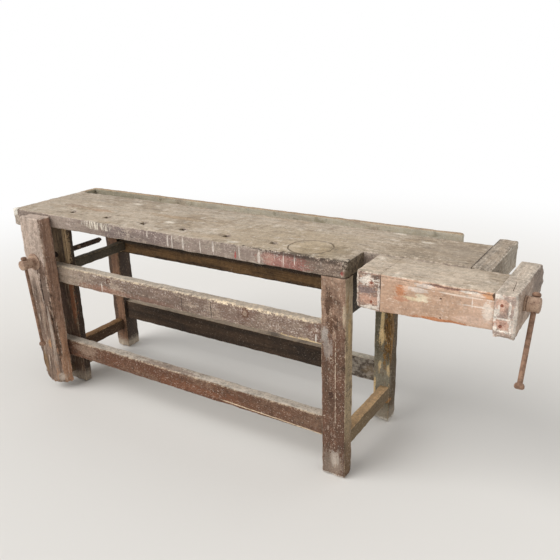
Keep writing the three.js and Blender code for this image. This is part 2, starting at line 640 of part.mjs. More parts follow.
nailX.forEach((x, i) => {
  const nail = headedPin(NAIL_DIAMETER / 2, NAIL_LENGTH, NAIL_HEAD_DIAMETER / 2, NAIL_HEAD_THICKNESS);
  addPiece(bench, `back_board_nail_${i + 1}`, nail, rustyIron).position.set(x, backBoardY[1] + FIT, nailZ);
});

// End cap: grooved over the slab's tongue and pegged from below; its arm reaches into the tail vise
const capY = [RECESS_DEPTH + FIT, SLAB_DEPTH + END_CAP_OVERHANG];
const capBody = timber(capX, capY, [capBottom, slabTop]);
const nutArmTop = slabTop - TOP_BOARD_THICKNESS - SLIDE_PLAY;
const nutArm = timber(capX, [capY[0] - NUT_ARM_REACH, capY[0] + END_CAP_WIDTH], [capBottom, nutArmTop]);
const capGroove = timber(
  [capX[0] - FIT, slabRight + CAP_TONGUE_LENGTH + FIT],
  grow(tongueY, FIT),
  grow(tongueZ, FIT),
);
const tailScrewPlace = [TAIL_SCREW_SETBACK, tailScrewZ];
addPiece(
  bench,
  'end_cap',
  cut(join(capBody, [nutArm]), [
    capGroove,
    ...capPegHoles,
    screwBore('x', TAIL_IRONS, grow(capX, FIT), tailScrewPlace),
    nutBore('x', [capX[0], capX[0] + NUT_BODY_LENGTH], tailScrewPlace),
  ]),
  topWood,
);
capPegY.forEach((y, i) => {
  addPiece(bench, `end_cap_peg_${i + 1}`, rod('z', PEG_DIAMETER / 2, capPegZ, [capPegX, y]), pegWood);
});

// Guide rail: a grooved strip screwed under the slab, in which the tail vise's runner slides
const guideGroove = timber(
  grow(guideRailX, FIT),
  [guideRailY[0] - FIT, runnerRear + SLIDE_PLAY],
  grow(runnerZ, BORE_PLAY),
);
const guideRail = timber(guideRailX, guideRailY, guideRailZ);
addPiece(bench, 'tail_guide_rail', cut(guideRail, [guideGroove, ...guideScrewHoles]), darkWood);
guideScrewX.forEach((x, i) => {
  const length = guideScrewZ[1] - guideScrewZ[0];
  const screw = headedPin(GUIDE_SCREW_DIAMETER / 2, length, GUIDE_SCREW_DIAMETER, NAIL_HEAD_THICKNESS);
  const mesh = addPiece(bench, `guide_rail_screw_${i + 1}`, screw, rustyIron);
  mesh.position.set(x, middle(guideRailY), guideScrewZ[0] - FIT);
  mesh.rotation.x = -Math.PI / 2;
});

// Irons of a vise, made with the handle towards +Y and y = 0 on the timber's outer face.
// The screw turns in a garter let into the timber's inner face and runs through a fixed nut.
function threadedRod(radius, [start, end]) {
  const rings = Math.round(((start - end) / THREAD_PITCH) * THREAD_RINGS_PER_TURN);
  const positions = [];
  const indices = [];
  for (let ring = 0; ring <= rings; ring += 1) {
    const y = start + ((end - start) * ring) / rings;
    for (let side = 0; side < THREAD_SIDES; side += 1) {
      const turn = side / THREAD_SIDES;
      const phase = THREE.MathUtils.euclideanModulo(y / THREAD_PITCH - turn, 1);
      const r = radius - THREAD_DEPTH * Math.abs(2 * phase - 1);
      positions.push(r * Math.sin(2 * Math.PI * turn), y, r * Math.cos(2 * Math.PI * turn));
    }
  }
  const at = (ring, side) => ring * THREAD_SIDES + (side % THREAD_SIDES);
  for (let ring = 0; ring < rings; ring += 1) {
    for (let side = 0; side < THREAD_SIDES; side += 1) {
      indices.push(at(ring, side), at(ring + 1, side), at(ring, side + 1));
      indices.push(at(ring, side + 1), at(ring + 1, side), at(ring + 1, side + 1));
    }
  }
  for (let side = 1; side < THREAD_SIDES - 1; side += 1) {
    indices.push(at(0, 0), at(0, side), at(0, side + 1));
    indices.push(at(rings, 0), at(rings, side + 1), at(rings, side));
  }
  const geometry = new THREE.BufferGeometry();
  geometry.setAttribute('position', new THREE.Float32BufferAttribute(positions, 3));
  geometry.setIndex(indices);
  return geometry;
}

function garterOutline(irons) {
  const slot = irons.shaftRadius - GARTER_GROOVE_DEPTH + BORE_PLAY;
  const outline = new THREE.Shape();
  outline.moveTo(-GARTER_HALF_WIDTH, -GARTER_HALF_HEIGHT);
  outline.lineTo(-slot, -GARTER_HALF_HEIGHT);
  outline.lineTo(-slot, 0);
  outline.absarc(0, 0, slot, Math.PI, 0, true);
  outline.lineTo(slot, -GARTER_HALF_HEIGHT);
  outline.lineTo(GARTER_HALF_WIDTH, -GARTER_HALF_HEIGHT);
  outline.lineTo(GARTER_HALF_WIDTH, GARTER_HALF_HEIGHT);
  outline.lineTo(-GARTER_HALF_WIDTH, GARTER_HALF_HEIGHT);
  outline.closePath();
  return outline;
}

const garterScrewX = [-GARTER_SCREW_SPREAD / 2, GARTER_SCREW_SPREAD / 2];
const garterScrewHole = (x, inner) =>
  rod('y', IRON_SCREW_DIAMETER / 2 + FIT, [inner - FIT, inner + IRON_SCREW_LENGTH + FIT], [x, 0]);

// What the irons need cut out of the timber that carries them, inner face at y = inner
function viseTimberCuts(irons, inner) {
  const pocket = timber(
    grow([-GARTER_HALF_WIDTH, GARTER_HALF_WIDTH], FIT),
    [inner - FIT, inner + GARTER_THICKNESS + FIT],
    grow([-GARTER_HALF_HEIGHT, GARTER_HALF_HEIGHT], FIT),
  );
  const bore = screwBore('y', irons, [inner - FIT, FIT], [0, 0]);
  return [pocket, bore, ...garterScrewX.map((x) => garterScrewHole(x, inner))];
}

function viseScrew(irons, inner) {
  const { shaftRadius, hubRadius, hubLength, handleRadius, handleSetback, screwReach } = irons;
  const hubStart = irons.flangeThickness + 2 * FIT;
  const hubEnd = hubStart + hubLength;
  const threadStart = inner - SLIDE_PLAY;
  const shank = turned([
    [0, threadStart],
    [shaftRadius, threadStart],
    [shaftRadius, inner - FIT],
    [shaftRadius - GARTER_GROOVE_DEPTH, inner - FIT],
    [shaftRadius - GARTER_GROOVE_DEPTH, inner + GARTER_THICKNESS + FIT],
    [shaftRadius, inner + GARTER_THICKNESS + FIT],
    [shaftRadius, hubStart],
    [hubRadius, hubStart],
    [hubRadius, hubEnd - HUB_CHAMFER],
    [hubRadius - HUB_CHAMFER, hubEnd],
    [0, hubEnd],
  ]);
  const handleY = hubEnd - handleSetback;
  const tilt = THREE.MathUtils.degToRad(irons.handleTilt);
  const handleHole = rod('z', handleRadius + BORE_PLAY, grow([0, 0], 2 * hubRadius), [0, 0]);
  handleHole.rotateY(tilt).translate(0, handleY, 0);
  const thread = threadedRod(shaftRadius, [threadStart + SLIDE_PLAY / 2, -screwReach]);
  return { geometry: cut(join(shank, [thread]), [handleHole]), handleY, tilt };
}

function viseHandle(irons) {
  const { handleRadius, hubRadius, handleDrop } = irons;
  const shoulder = hubRadius + FIT;
  return turned([
    [0, -handleDrop],
    [HANDLE_FOOT_BASE_RADIUS, -handleDrop],
    [HANDLE_FOOT_RADIUS, HANDLE_FOOT_BELLY_HEIGHT - handleDrop],
    [HANDLE_FOOT_NECK_RADIUS, HANDLE_FOOT_NECK_HEIGHT - handleDrop],
    [handleRadius, HANDLE_FOOT_HEIGHT - handleDrop],
    [handleRadius, shoulder],
    [KNOB_SPIGOT_RADIUS, shoulder],
    [KNOB_SPIGOT_RADIUS, shoulder + KNOB_SPIGOT_LENGTH],
    [0, shoulder + KNOB_SPIGOT_LENGTH],
  ]).rotateX(Math.PI / 2);
}

function handleKnob(irons) {
  const seat = irons.hubRadius + 2 * FIT;
  const bore = KNOB_SPIGOT_RADIUS + FIT;
  return turned([
    [bore, seat],
    [KNOB_RADIUS, seat],
    [KNOB_RADIUS, seat + KNOB_SIDE_HEIGHT],
    [KNOB_CROWN_RADIUS, seat + KNOB_HEIGHT],
    [0, seat + KNOB_HEIGHT],
    [0, seat + KNOB_SPIGOT_LENGTH + FIT],
    [bore, seat + KNOB_SPIGOT_LENGTH + FIT],
    [bore, seat],
  ]).rotateX(Math.PI / 2);
}

function fixedNut(irons) {
  const bore = irons.shaftRadius + BORE_PLAY;
  return turned([
    [bore, NUT_BODY_LENGTH - FIT],
    [bore, -NUT_FLANGE_THICKNESS - FIT],
    [NUT_FLANGE_RADIUS, -NUT_FLANGE_THICKNESS - FIT],
    [NUT_FLANGE_RADIUS, -FIT],
    [NUT_BODY_RADIUS, -FIT],
    [NUT_BODY_RADIUS, NUT_BODY_LENGTH - FIT],
    [bore, NUT_BODY_LENGTH - FIT],
  ]);
}

function addViseIrons(prefix, irons, inner, nutFace) {
  const group = new THREE.Group();
  const bore = irons.shaftRadius + BORE_PLAY;
  const flange = turned([
    [bore, FIT],
    [irons.flangeRadius, FIT],
    [irons.flangeRadius, FIT + irons.flangeThickness],
    [bore, FIT + irons.flangeThickness],
    [bore, FIT],
  ]);
  const garter = plate(garterOutline(irons), [inner, inner + GARTER_THICKNESS]);
  const screw = viseScrew(irons, inner);
  addPiece(group, `${prefix}_flange`, flange, rustyIron);
  const garterHoles = garterScrewX.map((x) => garterScrewHole(x, inner));
  addPiece(group, `${prefix}_garter`, cut(garter, garterHoles), rustyIron);
  addPiece(group, `${prefix}_screw`, screw.geometry, rustyIron);
  addPiece(group, `${prefix}_nut`, fixedNut(irons), rustyIron).position.y = nutFace;
  garterScrewX.forEach((x, i) => {
    const pin = headedPin(
      IRON_SCREW_DIAMETER / 2, IRON_SCREW_LENGTH, IRON_SCREW_HEAD_DIAMETER / 2, IRON_SCREW_HEAD_THICKNESS,
    );
    const mesh = addPiece(group, `${prefix}_garter_screw_${i + 1}`, pin, rustyIron);
    mesh.position.set(x, inner - FIT, 0);
    mesh.rotation.x = Math.PI;
  });
  const handle = new THREE.Group();
  handle.position.y = screw.handleY;
  handle.rotation.y = screw.tilt;
  addPiece(handle, `${prefix}_handle`, viseHandle(irons), rustyIron);
  addPiece(handle, `${prefix}_handle_knob`, handleKnob(irons), rustyIron);
  group.add(handle);
  return group;
}

// Leg vise: a chop in front of the left leg, kept square by a guide bar that slides through the leg
function chopOutline() {
  const left = -CHOP_WIDTH / 2;
  const right = CHOP_WIDTH / 2;
  const top = slabTop - CHOP_TOP_DROP - LEG_SCREW_HEIGHT;
  const foot = chopFoot - LEG_SCREW_HEIGHT;
  const footLeft = left + CHOP_TAPER;
  const outline = new THREE.Shape();
  outline.moveTo(right, foot);
  outline.lineTo(right, top);
  outline.lineTo(left + CHOP_HEAD_RADIUS, top);
  outline.absarc(
    left + CHOP_HEAD_RADIUS, top - CHOP_HEAD_RADIUS, CHOP_HEAD_RADIUS, Math.PI / 2, Math.PI, false,
  );
  outline.lineTo(footLeft, foot + CHOP_FOOT_RADIUS);
  outline.absarc(
    footLeft + CHOP_FOOT_RADIUS, foot + CHOP_FOOT_RADIUS, CHOP_FOOT_RADIUS, Math.PI, 1.5 * Math.PI, false,
  );
  outline.closePath();
  return outline;
}

const chopCentre = new THREE.Vector3(legScrewX, chopFront, LEG_SCREW_HEIGHT);
const chopRight = legScrewX + CHOP_WIDTH / 2;
const chopChamfer = new ConvexGeometry([
  new THREE.Vector3(chopRight, chopFront, chopFoot + CHOP_CHAMFER_RISE),
  new THREE.Vector3(chopRight - CHOP_CHAMFER_WIDTH, chopFront, chopFoot),
  new THREE.Vector3(chopRight, chopFront + CHOP_CHAMFER_DEPTH, chopFoot),
  new THREE.Vector3(chopRight + FIT, chopFront - FIT, chopFoot - FIT),
]);
const guideBarSocket = timber(
  grow(guideBarX, FIT),
  [-CHOP_GAP - GUIDE_BAR_SOCKET - FIT, -CHOP_GAP + FIT],
  grow(guideBarZ, FIT),
);
const chopFootLeft = legScrewX - CHOP_WIDTH / 2 + CHOP_TAPER;
const guidePegX = [chopFootLeft + GUIDE_PEG_SINK, chopFootLeft + GUIDE_PEG_SINK + GUIDE_PEG_LENGTH];
const guidePegPlace = [guidePegY, guidePegZ];
const guidePegReach = [chopFootLeft - CHOP_TAPER, guidePegX[1] + FIT];
const guidePegHole = rod('x', GUIDE_PEG_DIAMETER / 2 + FIT, guidePegReach, guidePegPlace);
const chopBlank = plate(chopOutline(), [0, CHOP_THICKNESS]).translate(...chopCentre);
const legViseCuts = viseTimberCuts(LEG_IRONS, -CHOP_THICKNESS).map((tool) =>
  tool.rotateZ(Math.PI).translate(...chopCentre));
addPiece(
  bench,
  'leg_vise_chop',
  cut(chopBlank, [chopChamfer, guideBarSocket, guidePegHole, ...legViseCuts]),
  chopWood,
);
const guideBar = timber(guideBarX, [-CHOP_GAP - GUIDE_BAR_SOCKET, GUIDE_BAR_REACH], guideBarZ);
addPiece(bench, 'leg_vise_guide_bar', cut(guideBar, [guidePegHole]), railWood);
addPiece(bench, 'guide_bar_peg', rod('x', GUIDE_PEG_DIAMETER / 2, guidePegX, guidePegPlace), pegWood);

const legIrons = addViseIrons('leg_vise', LEG_IRONS, -CHOP_THICKNESS, chopFront - legNutFace);
legIrons.position.copy(chopCentre);
legIrons.rotation.z = Math.PI;
bench.add(legIrons);

// Tail vise: a box of jaw block, front board, top board, runner and end block that slides along X
const tailY = [tailFront, tailRear];
const tailPegY = [tailFront + TAIL_PEG_SINK, tailFront + TAIL_PEG_SINK + TAIL_PEG_LENGTH];
const tailPegZ = { upper: slabTop - TAIL_PEG_FROM_TOP, lower: jawFoot + TAIL_PEG_FROM_FOOT };
const tailPegX = {
  jaw: frontBoardX[0] - TAIL_JAW_PEG_INSET,
  block: frontBoardX[1] + TAIL_BLOCK_PEG_INSET,
};
const tailPegHoles = (x) =>
  Object.values(tailPegZ).map((z) =>
    rod('y', TAIL_PEG_DIAMETER / 2 + FIT, [tailFront - FIT, tailPegY[1] + FIT], [x, z]));

const boardTenonZ = [jawFoot + FRONT_BOARD_RISE + FIT, frontBoardTop - FIT];
const boardTenonY = shrink(frontBoardY, TENON_SHOULDER);
const boardTenonX = grow(frontBoardX, FRONT_BOARD_TENON);
const boardTenon = timber(boardTenonX, boardTenonY, boardTenonZ);
const boardMortise = timber(grow(boardTenonX, FIT), grow(boardTenonY, FIT), grow(boardTenonZ, FIT));
const runnerTenonY = [runnerY[0], tailRear - TENON_SHOULDER];
const runnerTenonX = grow(frontBoardX, RUNNER_TENON);
const runnerTenon = timber(runnerTenonX, runnerTenonY, runnerZ);
const runnerMortise = timber(grow(runnerTenonX, FIT), grow(runnerTenonY, FIT), grow(runnerZ, FIT));

function jawOutline() {
  const outline = new THREE.Shape();
  outline.moveTo(jawX[1], tailFront);
  outline.lineTo(jawX[1], tailRear);
  outline.lineTo(jawX[0], tailRear);
  outline.lineTo(jawX[0], tailFront + JAW_CORNER_RADIUS);
  outline.absarc(
    jawX[0] + JAW_CORNER_RADIUS, tailFront + JAW_CORNER_RADIUS, JAW_CORNER_RADIUS,
    Math.PI, 1.5 * Math.PI, false,
  );
  outline.closePath();
  return outline;
}
const jawBlank = new THREE.ExtrudeGeometry(jawOutline(), {
  depth: JAW_HEIGHT,
  bevelEnabled: false,
  curveSegments: CURVE_SEGMENTS,
}).translate(0, 0, jawFoot);
addPiece(
  bench,
  'tail_vise_jaw_block',
  cut(jawBlank, [boardMortise, runnerMortise, ...tailPegHoles(tailPegX.jaw)]),
  viseWood,
);

function frontBoardOutline() {
  const outline = new THREE.Shape();
  outline.moveTo(frontBoardX[0], jawFoot);
  outline.lineTo(frontBoardX[1], jawFoot + FRONT_BOARD_RISE);
  outline.lineTo(frontBoardX[1], frontBoardTop);
  outline.lineTo(frontBoardX[0], frontBoardTop);
  outline.closePath();
  return outline;
}
const boardPegHoles = Object.values(tailPegX).flatMap(tailPegHoles);
const frontBoard = join(plate(frontBoardOutline(), frontBoardY), [boardTenon]);
addPiece(bench, 'tail_vise_front_board', cut(frontBoard, boardPegHoles), viseWood);
addPiece(
  bench,
  'tail_vise_top_board',
  timber(frontBoardX, tailY, [slabTop - TOP_BOARD_THICKNESS, slabTop]),
  topWood,
);
addPiece(bench, 'tail_vise_runner', join(timber(frontBoardX, runnerY, runnerZ), [runnerTenon]), railWood);

function endBlockOutline() {
  const rear = RECESS_DEPTH + END_BLOCK_REACH;
  const foot = slabTop - END_BLOCK_HEIGHT;
  const rise = END_BLOCK_HEEL_RISE;
  const heel = END_BLOCK_HEEL_RADIUS;
  const head = END_BLOCK_HEAD_RADIUS;
  const outline = new THREE.Shape();
  outline.moveTo(tailFront, foot + END_BLOCK_FOOT_CHAMFER);
  outline.lineTo(tailFront + END_BLOCK_FOOT_CHAMFER, foot);
  outline.lineTo(RECESS_DEPTH, foot);
  outline.lineTo(rear - heel, foot + rise);
  outline.absarc(rear - heel, foot + rise + heel, heel, 1.5 * Math.PI, 2 * Math.PI, false);
  outline.lineTo(rear, slabTop - head);
  outline.absarc(rear - head, slabTop - head, head, 0, Math.PI / 2, false);
  outline.lineTo(tailFront, slabTop);
  outline.closePath();
  return outline;
}
// The outline is drawn along Y and Z, so the plate is turned to take its thickness along X
const endBlockBlank = plate(endBlockOutline(), [-endBlockX[1], -endBlockX[0]]).rotateZ(Math.PI / 2);
const tailFaceCentre = new THREE.Vector3(endBlockX[1], TAIL_SCREW_SETBACK, tailScrewZ);
const tailViseCuts = viseTimberCuts(TAIL_IRONS, -END_BLOCK_WIDTH).map((tool) =>
  tool.rotateZ(-Math.PI / 2).translate(...tailFaceCentre));
addPiece(
  bench,
  'tail_vise_end_block',
  cut(endBlockBlank, [boardMortise, runnerMortise, ...tailPegHoles(tailPegX.block), ...tailViseCuts]),
  viseWood,
);
for (const [place, x] of Object.entries(tailPegX)) {
  for (const [level, z] of Object.entries(tailPegZ)) {
    addPiece(bench, `tail_${place}_peg_${level}`, rod('y', TAIL_PEG_DIAMETER / 2, tailPegY, [x, z]), pegWood);
  }
}

const tailIrons = addViseIrons('tail_vise', TAIL_IRONS, -END_BLOCK_WIDTH, capX[0] - endBlockX[1]);
tailIrons.position.copy(tailFaceCentre);
tailIrons.rotation.z = -Math.PI / 2;
bench.add(tailIrons);

// The bench stands on its own feet: put the origin on the floor under the middle of its box
const extent = new THREE.Box3().setFromObject(bench, true);
const centre = extent.getCenter(new THREE.Vector3());
bench.position.set(-centre.x, -centre.y, -extent.min.z);

export default bench;
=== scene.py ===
# An old woodworking bench with a leg vise and a tail vise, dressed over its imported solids.
import math
from contextlib import contextmanager

import bmesh
import bpy
from mathutils import Matrix, Vector, kdtree


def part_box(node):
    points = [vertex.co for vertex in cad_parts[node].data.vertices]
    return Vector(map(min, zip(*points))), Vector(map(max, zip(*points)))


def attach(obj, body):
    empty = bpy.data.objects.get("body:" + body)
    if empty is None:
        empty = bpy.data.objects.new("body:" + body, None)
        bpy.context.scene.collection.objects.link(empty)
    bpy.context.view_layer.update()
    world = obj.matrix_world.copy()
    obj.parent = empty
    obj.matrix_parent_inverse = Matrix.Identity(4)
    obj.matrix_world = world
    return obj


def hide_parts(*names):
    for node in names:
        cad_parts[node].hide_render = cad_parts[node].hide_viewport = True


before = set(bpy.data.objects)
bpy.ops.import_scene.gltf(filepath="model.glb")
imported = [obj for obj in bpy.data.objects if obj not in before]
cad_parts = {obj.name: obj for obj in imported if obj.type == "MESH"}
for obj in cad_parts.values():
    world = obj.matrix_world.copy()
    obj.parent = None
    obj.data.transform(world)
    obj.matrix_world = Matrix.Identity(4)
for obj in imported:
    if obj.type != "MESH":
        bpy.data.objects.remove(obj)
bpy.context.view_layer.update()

# The place where the bench stands: a plain pale floor under an even white sky, with one soft
# sun high in front on the left and a weak one behind on the right. The camera stands where
# the photographer stood, a little above the bench and to its right.


def srgb(red, green, blue):
    """A colour as it is seen on a screen, 0 to 255, in the shader's linear numbers."""
    linear = []
    for part in (red, green, blue):
        level = part / 255
        linear.append(level / 12.92 if level <= 0.04045 else ((level + 0.055) / 1.055) ** 2.4)
    return (*linear, 1.0)


class Wire:
    """A socket of a material's nodes. Sums on wires and numbers add Math nodes."""

    def __init__(self, tree, socket=None):
        self.tree = tree
        self.socket = socket

    def node(self, kind, settings, sockets, out=0):
        made = self.tree.nodes.new(kind)
        for key, value in settings.items():
            setattr(made, key, value)
        for key, value in sockets.items():
            if isinstance(value, Wire):
                self.tree.links.new(value.socket, made.inputs[key])
            else:
                made.inputs[key].default_value = value
        return Wire(self.tree, made.outputs[out])

    def math(self, operation, *values):
        return self.node("ShaderNodeMath", {"operation": operation}, dict(enumerate(values)))

    def __add__(self, other):
        return self.math("ADD", self, other)

    def __radd__(self, other):
        return self.math("ADD", other, self)

    def __sub__(self, other):
        return self.math("SUBTRACT", self, other)

    def __rsub__(self, other):
        return self.math("SUBTRACT", other, self)

    def __mul__(self, other):
        return self.math("MULTIPLY", self, other)

    def __abs__(self):
        return self.math("ABSOLUTE", self)

    def larger(self, other):
        return self.math("MAXIMUM", self, other)

    def band(self, low, high):
        """0 below low and 1 above high, with a soft step between; the reverse if low > high."""
        steps = {"interpolation_type": "SMOOTHSTEP"}
        return self.node("ShaderNodeMapRange", steps, {0: self, 1: low, 2: high})

    def vector(self, operation, other):
        return self.node("ShaderNodeVectorMath", {"operation": operation}, {0: self, 1: other})

    def length(self):
        return self.node("ShaderNodeVectorMath", {"operation": "LENGTH"}, {0: self}, "Value")

    def part(self, axis):
        return self.node("ShaderNodeSeparateXYZ", {}, {0: self}, axis)

    def noise(self, scale, detail, roughness, distortion=0.0):
        values = {"Vector": self, "Scale": scale, "Detail": detail}
        values.update({"Roughness": roughness, "Distortion": distortion})
        return self.node("ShaderNodeTexNoise", {}, values)

    def over(self, under, coat):
        """The colour under, covered by the coat where this mask is 1."""
        mixed = {"data_type": "RGBA"}
        return self.node("ShaderNodeMix", mixed, {0: self, 6: under, 7: coat}, 2)

    def shading(self, colour):
        """The colour made darker or lighter by this number."""
        multiplied = {"data_type": "RGBA", "blend_type": "MULTIPLY"}
        return self.node("ShaderNodeMix", multiplied, {0: 1.0, 6: colour, 7: self}, 2)


bpy.context.scene.view_settings.view_transform = "Standard"

floor_reach = 14.0
floor_fade = (1.6, 4.6)
floor_colour = srgb(222, 219, 214)
bpy.ops.mesh.primitive_circle_add(vertices=64, radius=floor_reach, fill_type="NGON")
bench_floor = bpy.context.object
bench_floor.name = "studio_floor"
floor_finish = bpy.data.materials.new("pale_floor")
floor_finish.use_nodes = True
floor_shader = floor_finish.node_tree.nodes["Principled BSDF"]
floor_shader.inputs["Base Color"].default_value = floor_colour
floor_shader.inputs["Roughness"].default_value = 0.9
floor_tree = floor_finish.node_tree
floor_place = Wire(floor_tree).node("ShaderNodeTexCoord", {}, {}, "Object")
floor_ray = Wire(floor_tree).node("ShaderNodeLightPath", {}, {}, "Is Camera Ray")
floor_glow = Wire(floor_tree).node("ShaderNodeEmission", {}, {"Color": (1.0, 1.0, 1.0, 1.0)})
floor_mix = floor_tree.nodes.new("ShaderNodeMixShader")
floor_tree.links.new((floor_place.length().band(*floor_fade) * floor_ray).socket, floor_mix.inputs[0])
floor_tree.links.new(floor_shader.outputs[0], floor_mix.inputs[1])
floor_tree.links.new(floor_glow.socket, floor_mix.inputs[2])
floor_tree.links.new(floor_mix.outputs[0], floor_tree.nodes["Material Output"].inputs["Surface"])
bench_floor.data.materials.append(floor_finish)

sky_level = 0.55
sky = bpy.data.worlds.new("even_sky")
bpy.context.scene.world = sky
sky.use_nodes = True
ray = sky.node_tree.nodes.new("ShaderNodeLightPath")
seen = Wire(sky.node_tree, ray.outputs["Is Camera Ray"])
seen = seen.larger(Wire(sky.node_tree, ray.outputs["Is Glossy Ray"]))
seen = seen.larger(Wire(sky.node_tree, ray.outputs["Is Transmission Ray"]))
sky_shader = sky.node_tree.nodes["Background"]
sky_shader.inputs["Color"].default_value = (1.0, 1.0, 1.0, 1.0)
sky.node_tree.links.new((seen * (1.0 - sky_level) + sky_level).socket, sky_shader.inputs["Strength"])


def soft_sun(name, towards, level, spread):
    """A wide sun that shines from the given side, its level that of a white card facing it."""
    lamp = bpy.data.lights.new(name, "SUN")
    lamp.energy = level * math.pi
    lamp.angle = math.radians(spread)
    holder = bpy.data.objects.new(name, lamp)
    holder.rotation_euler = Vector(towards).to_track_quat("Z", "Y").to_euler()
    bpy.context.scene.collection.objects.link(holder)


soft_sun("front_sun", (-0.46, -0.62, 0.64), 0.72, 50)
soft_sun("back_sun", (0.75, 0.45, 0.5), 0.16, 70)

camera_data = bpy.data.cameras.new("photo_camera")
camera_data.sensor_width = 36.0
camera_data.lens = 41.294
photo_camera = bpy.data.objects.new("photo_camera", camera_data)
camera_right = (0.8477804604, 0.5296335088, -0.0275070405)
camera_up = (-0.1593646041, 0.3038766008, 0.9392879934)
camera_back = (0.5058371417, -0.7919263588, 0.3420254790)
camera_place = Matrix((camera_right, camera_up, camera_back)).transposed().to_4x4()
camera_place.translation = (1.352498, -1.859002, 1.427260)
photo_camera.matrix_world = camera_place
bpy.context.scene.collection.objects.link(photo_camera)
bpy.context.scene.camera = photo_camera


# The top slab, one thick plank of pale hardwood gone grey. It is sawn, planed and bored with
# six square dog holes along its front edge, and cut back at the right for the tail vise. Its
# rear edge is rabbeted for the tray floor and its ends are tongued for their caps.


@contextmanager
def editing():
    """Work on the active piece in edit mode."""
    bpy.ops.object.mode_set(mode="EDIT")
    yield
    bpy.ops.object.mode_set(mode="OBJECT")


def hold(piece):
    """Make a piece the only one selected, and the active one."""
    bpy.ops.object.select_all(action="DESELECT")
    piece.select_set(True)
    bpy.context.view_layer.objects.active = piece


def take(name):
    """Fix the size and place of the shape that was just added, and name it."""
    bpy.ops.object.transform_apply(location=True, rotation=True, scale=True)
    piece = bpy.context.object
    piece.name = name
    piece.data.name = name
    return piece


def squared_timber(name, low, high):
    """A sawn timber: one cube brought to its size and place."""
    size = [top - foot for foot, top in zip(low, high)]
    middle = [(top + foot) / 2 for foot, top in zip(low, high)]
    bpy.ops.mesh.primitive_cube_add(size=1, location=middle, scale=size)
    return take(name)


def pick(timber, kind, test):
    """Select, in edit mode, the faces or edges of a timber that pass a test."""
    bpy.ops.mesh.select_mode(type=kind)
    bpy.ops.mesh.select_all(action="DESELECT")
    shape = bmesh.from_edit_mesh(timber.data)
    for item in shape.edges if kind == "EDGE" else shape.faces:
        if test(item):
            item.select_set(True)
    bmesh.update_edit_mesh(timber.data)


def saw_through(axis, place):
    """Cut every face of the timber in edit mode along a plane square to an axis."""
    point, normal = Vector(), Vector()
    point[axis] = place
    normal[axis] = 1.0
    bpy.ops.mesh.select_all(action="SELECT")
    bpy.ops.mesh.bisect(plane_co=point, plane_no=normal, threshold=0.00005)


def pull(distance):
    """Extrude the selected faces."""
    bpy.ops.mesh.extrude_region_move(TRANSFORM_OT_translate={"value": distance})


def edge_at(**where):
    """A test for the edges that lie at the given x, y or z."""
    near = 0.002
    return lambda edge: all(
        abs(getattr(point.co, axis) - place) < near
        for point in edge.verts
        for axis, place in where.items()
    )


def is_arris(edge):
    """Whether an edge is an outer corner between two faces."""
    sharp = 0.5
    return len(edge.link_faces) == 2 and edge.is_convex and edge.calc_face_angle() > sharp


joint_reach = 0.0015


def in_joint(edge, joints):
    """Whether an edge lies in a face that butts on another timber, given as axis and place."""
    return any(
        all(abs(point.co[axis] - place) < joint_reach for point in edge.verts)
        for axis, place in joints
    )


def ease(timber, width, steps, test):
    """Round over the arrises that pass a test."""
    with editing():
        pick(timber, "EDGE", test)
        bpy.ops.mesh.bevel(offset=width, segments=steps, profile=0.5, affect="EDGES")


def ease_all(timber, width, joints):
    """Round over a timber's free arrises; those of its joints stay nearly square."""
    ease(timber, width, 3, lambda edge: is_arris(edge) and not in_joint(edge, joints))
    if joints:
        nearly_square = 0.0005
        ease(timber, nearly_square, 1, lambda edge: is_arris(edge) and in_joint(edge, joints))


def score(timber, spacing):
    """Cut the faces into a grid of about this spacing on each axis, for the wear to work on."""
    corners = [Vector(corner) for corner in timber.bound_box]
    with editing():
        for axis in range(3):
            low = min(corner[axis] for corner in corners)
            high = max(corner[axis] for corner in corners)
            cuts = round((high - low) / spacing[axis])
            for cut in range(1, cuts):
                saw_through(axis, low + (high - low) * cut / cuts)


def arris_weights(timber, reach, joints):
    """How near each point of a timber is to a free arris, 1 on it and 0 past the reach."""
    bent = 0.3
    shape = bmesh.new()
    shape.from_mesh(timber.data)
    ridge = [
        point.co.copy()
        for point in shape.verts
        if not any(abs(point.co[axis] - place) < joint_reach for axis, place in joints)
        and any(edge.is_convex and edge.calc_face_angle(0) > bent for edge in point.link_edges)
    ]
    tree = kdtree.KDTree(len(ridge))
    for index, spot in enumerate(ridge):
        tree.insert(spot, index)
    tree.balance()
    weights = [max(0.0, 1.0 - tree.find(point.co)[2] / reach) for point in shape.verts]
    shape.free()
    return weights


def roughen(timber, label, along, grain, amount, depth=2, weights=None):
    """Move a timber's surface in and out by a cloud pattern drawn out along its grain, or,
    where weights say how much, only inward."""
    pattern_origin = (0.37, 0.11, 0.23)
    bpy.ops.object.empty_add(location=pattern_origin)
    ruler = bpy.context.object
    ruler.scale = [grain[1] / grain[0] if axis == along else 1.0 for axis in range(3)]
    bpy.context.view_layer.update()
    cloud = bpy.data.textures.new(label, "CLOUDS")
    cloud.noise_scale = grain[0]
    cloud.noise_depth = depth
    hold(timber)
    wear = timber.modifiers.new(label, "DISPLACE")
    wear.texture = cloud
    wear.texture_coords = "OBJECT"
    wear.texture_coords_object = ruler
    wear.strength = amount
    wear.mid_level = 0.5
    if weights is not None:
        cloud.contrast = 2.4
        cloud.intensity = 1.2
        wear.mid_level = 1.0
        group = timber.vertex_groups.new(name=label)
        for index, weight in enumerate(weights):
            if weight > 0:
                group.add([index], min(weight, 1.0), "REPLACE")
        wear.vertex_group = label
    bpy.ops.object.modifier_apply(modifier=label)
    bpy.data.objects.remove(ruler)
    bpy.data.textures.remove(cloud)
    timber.vertex_groups.clear()


timber_crease = math.radians(48)


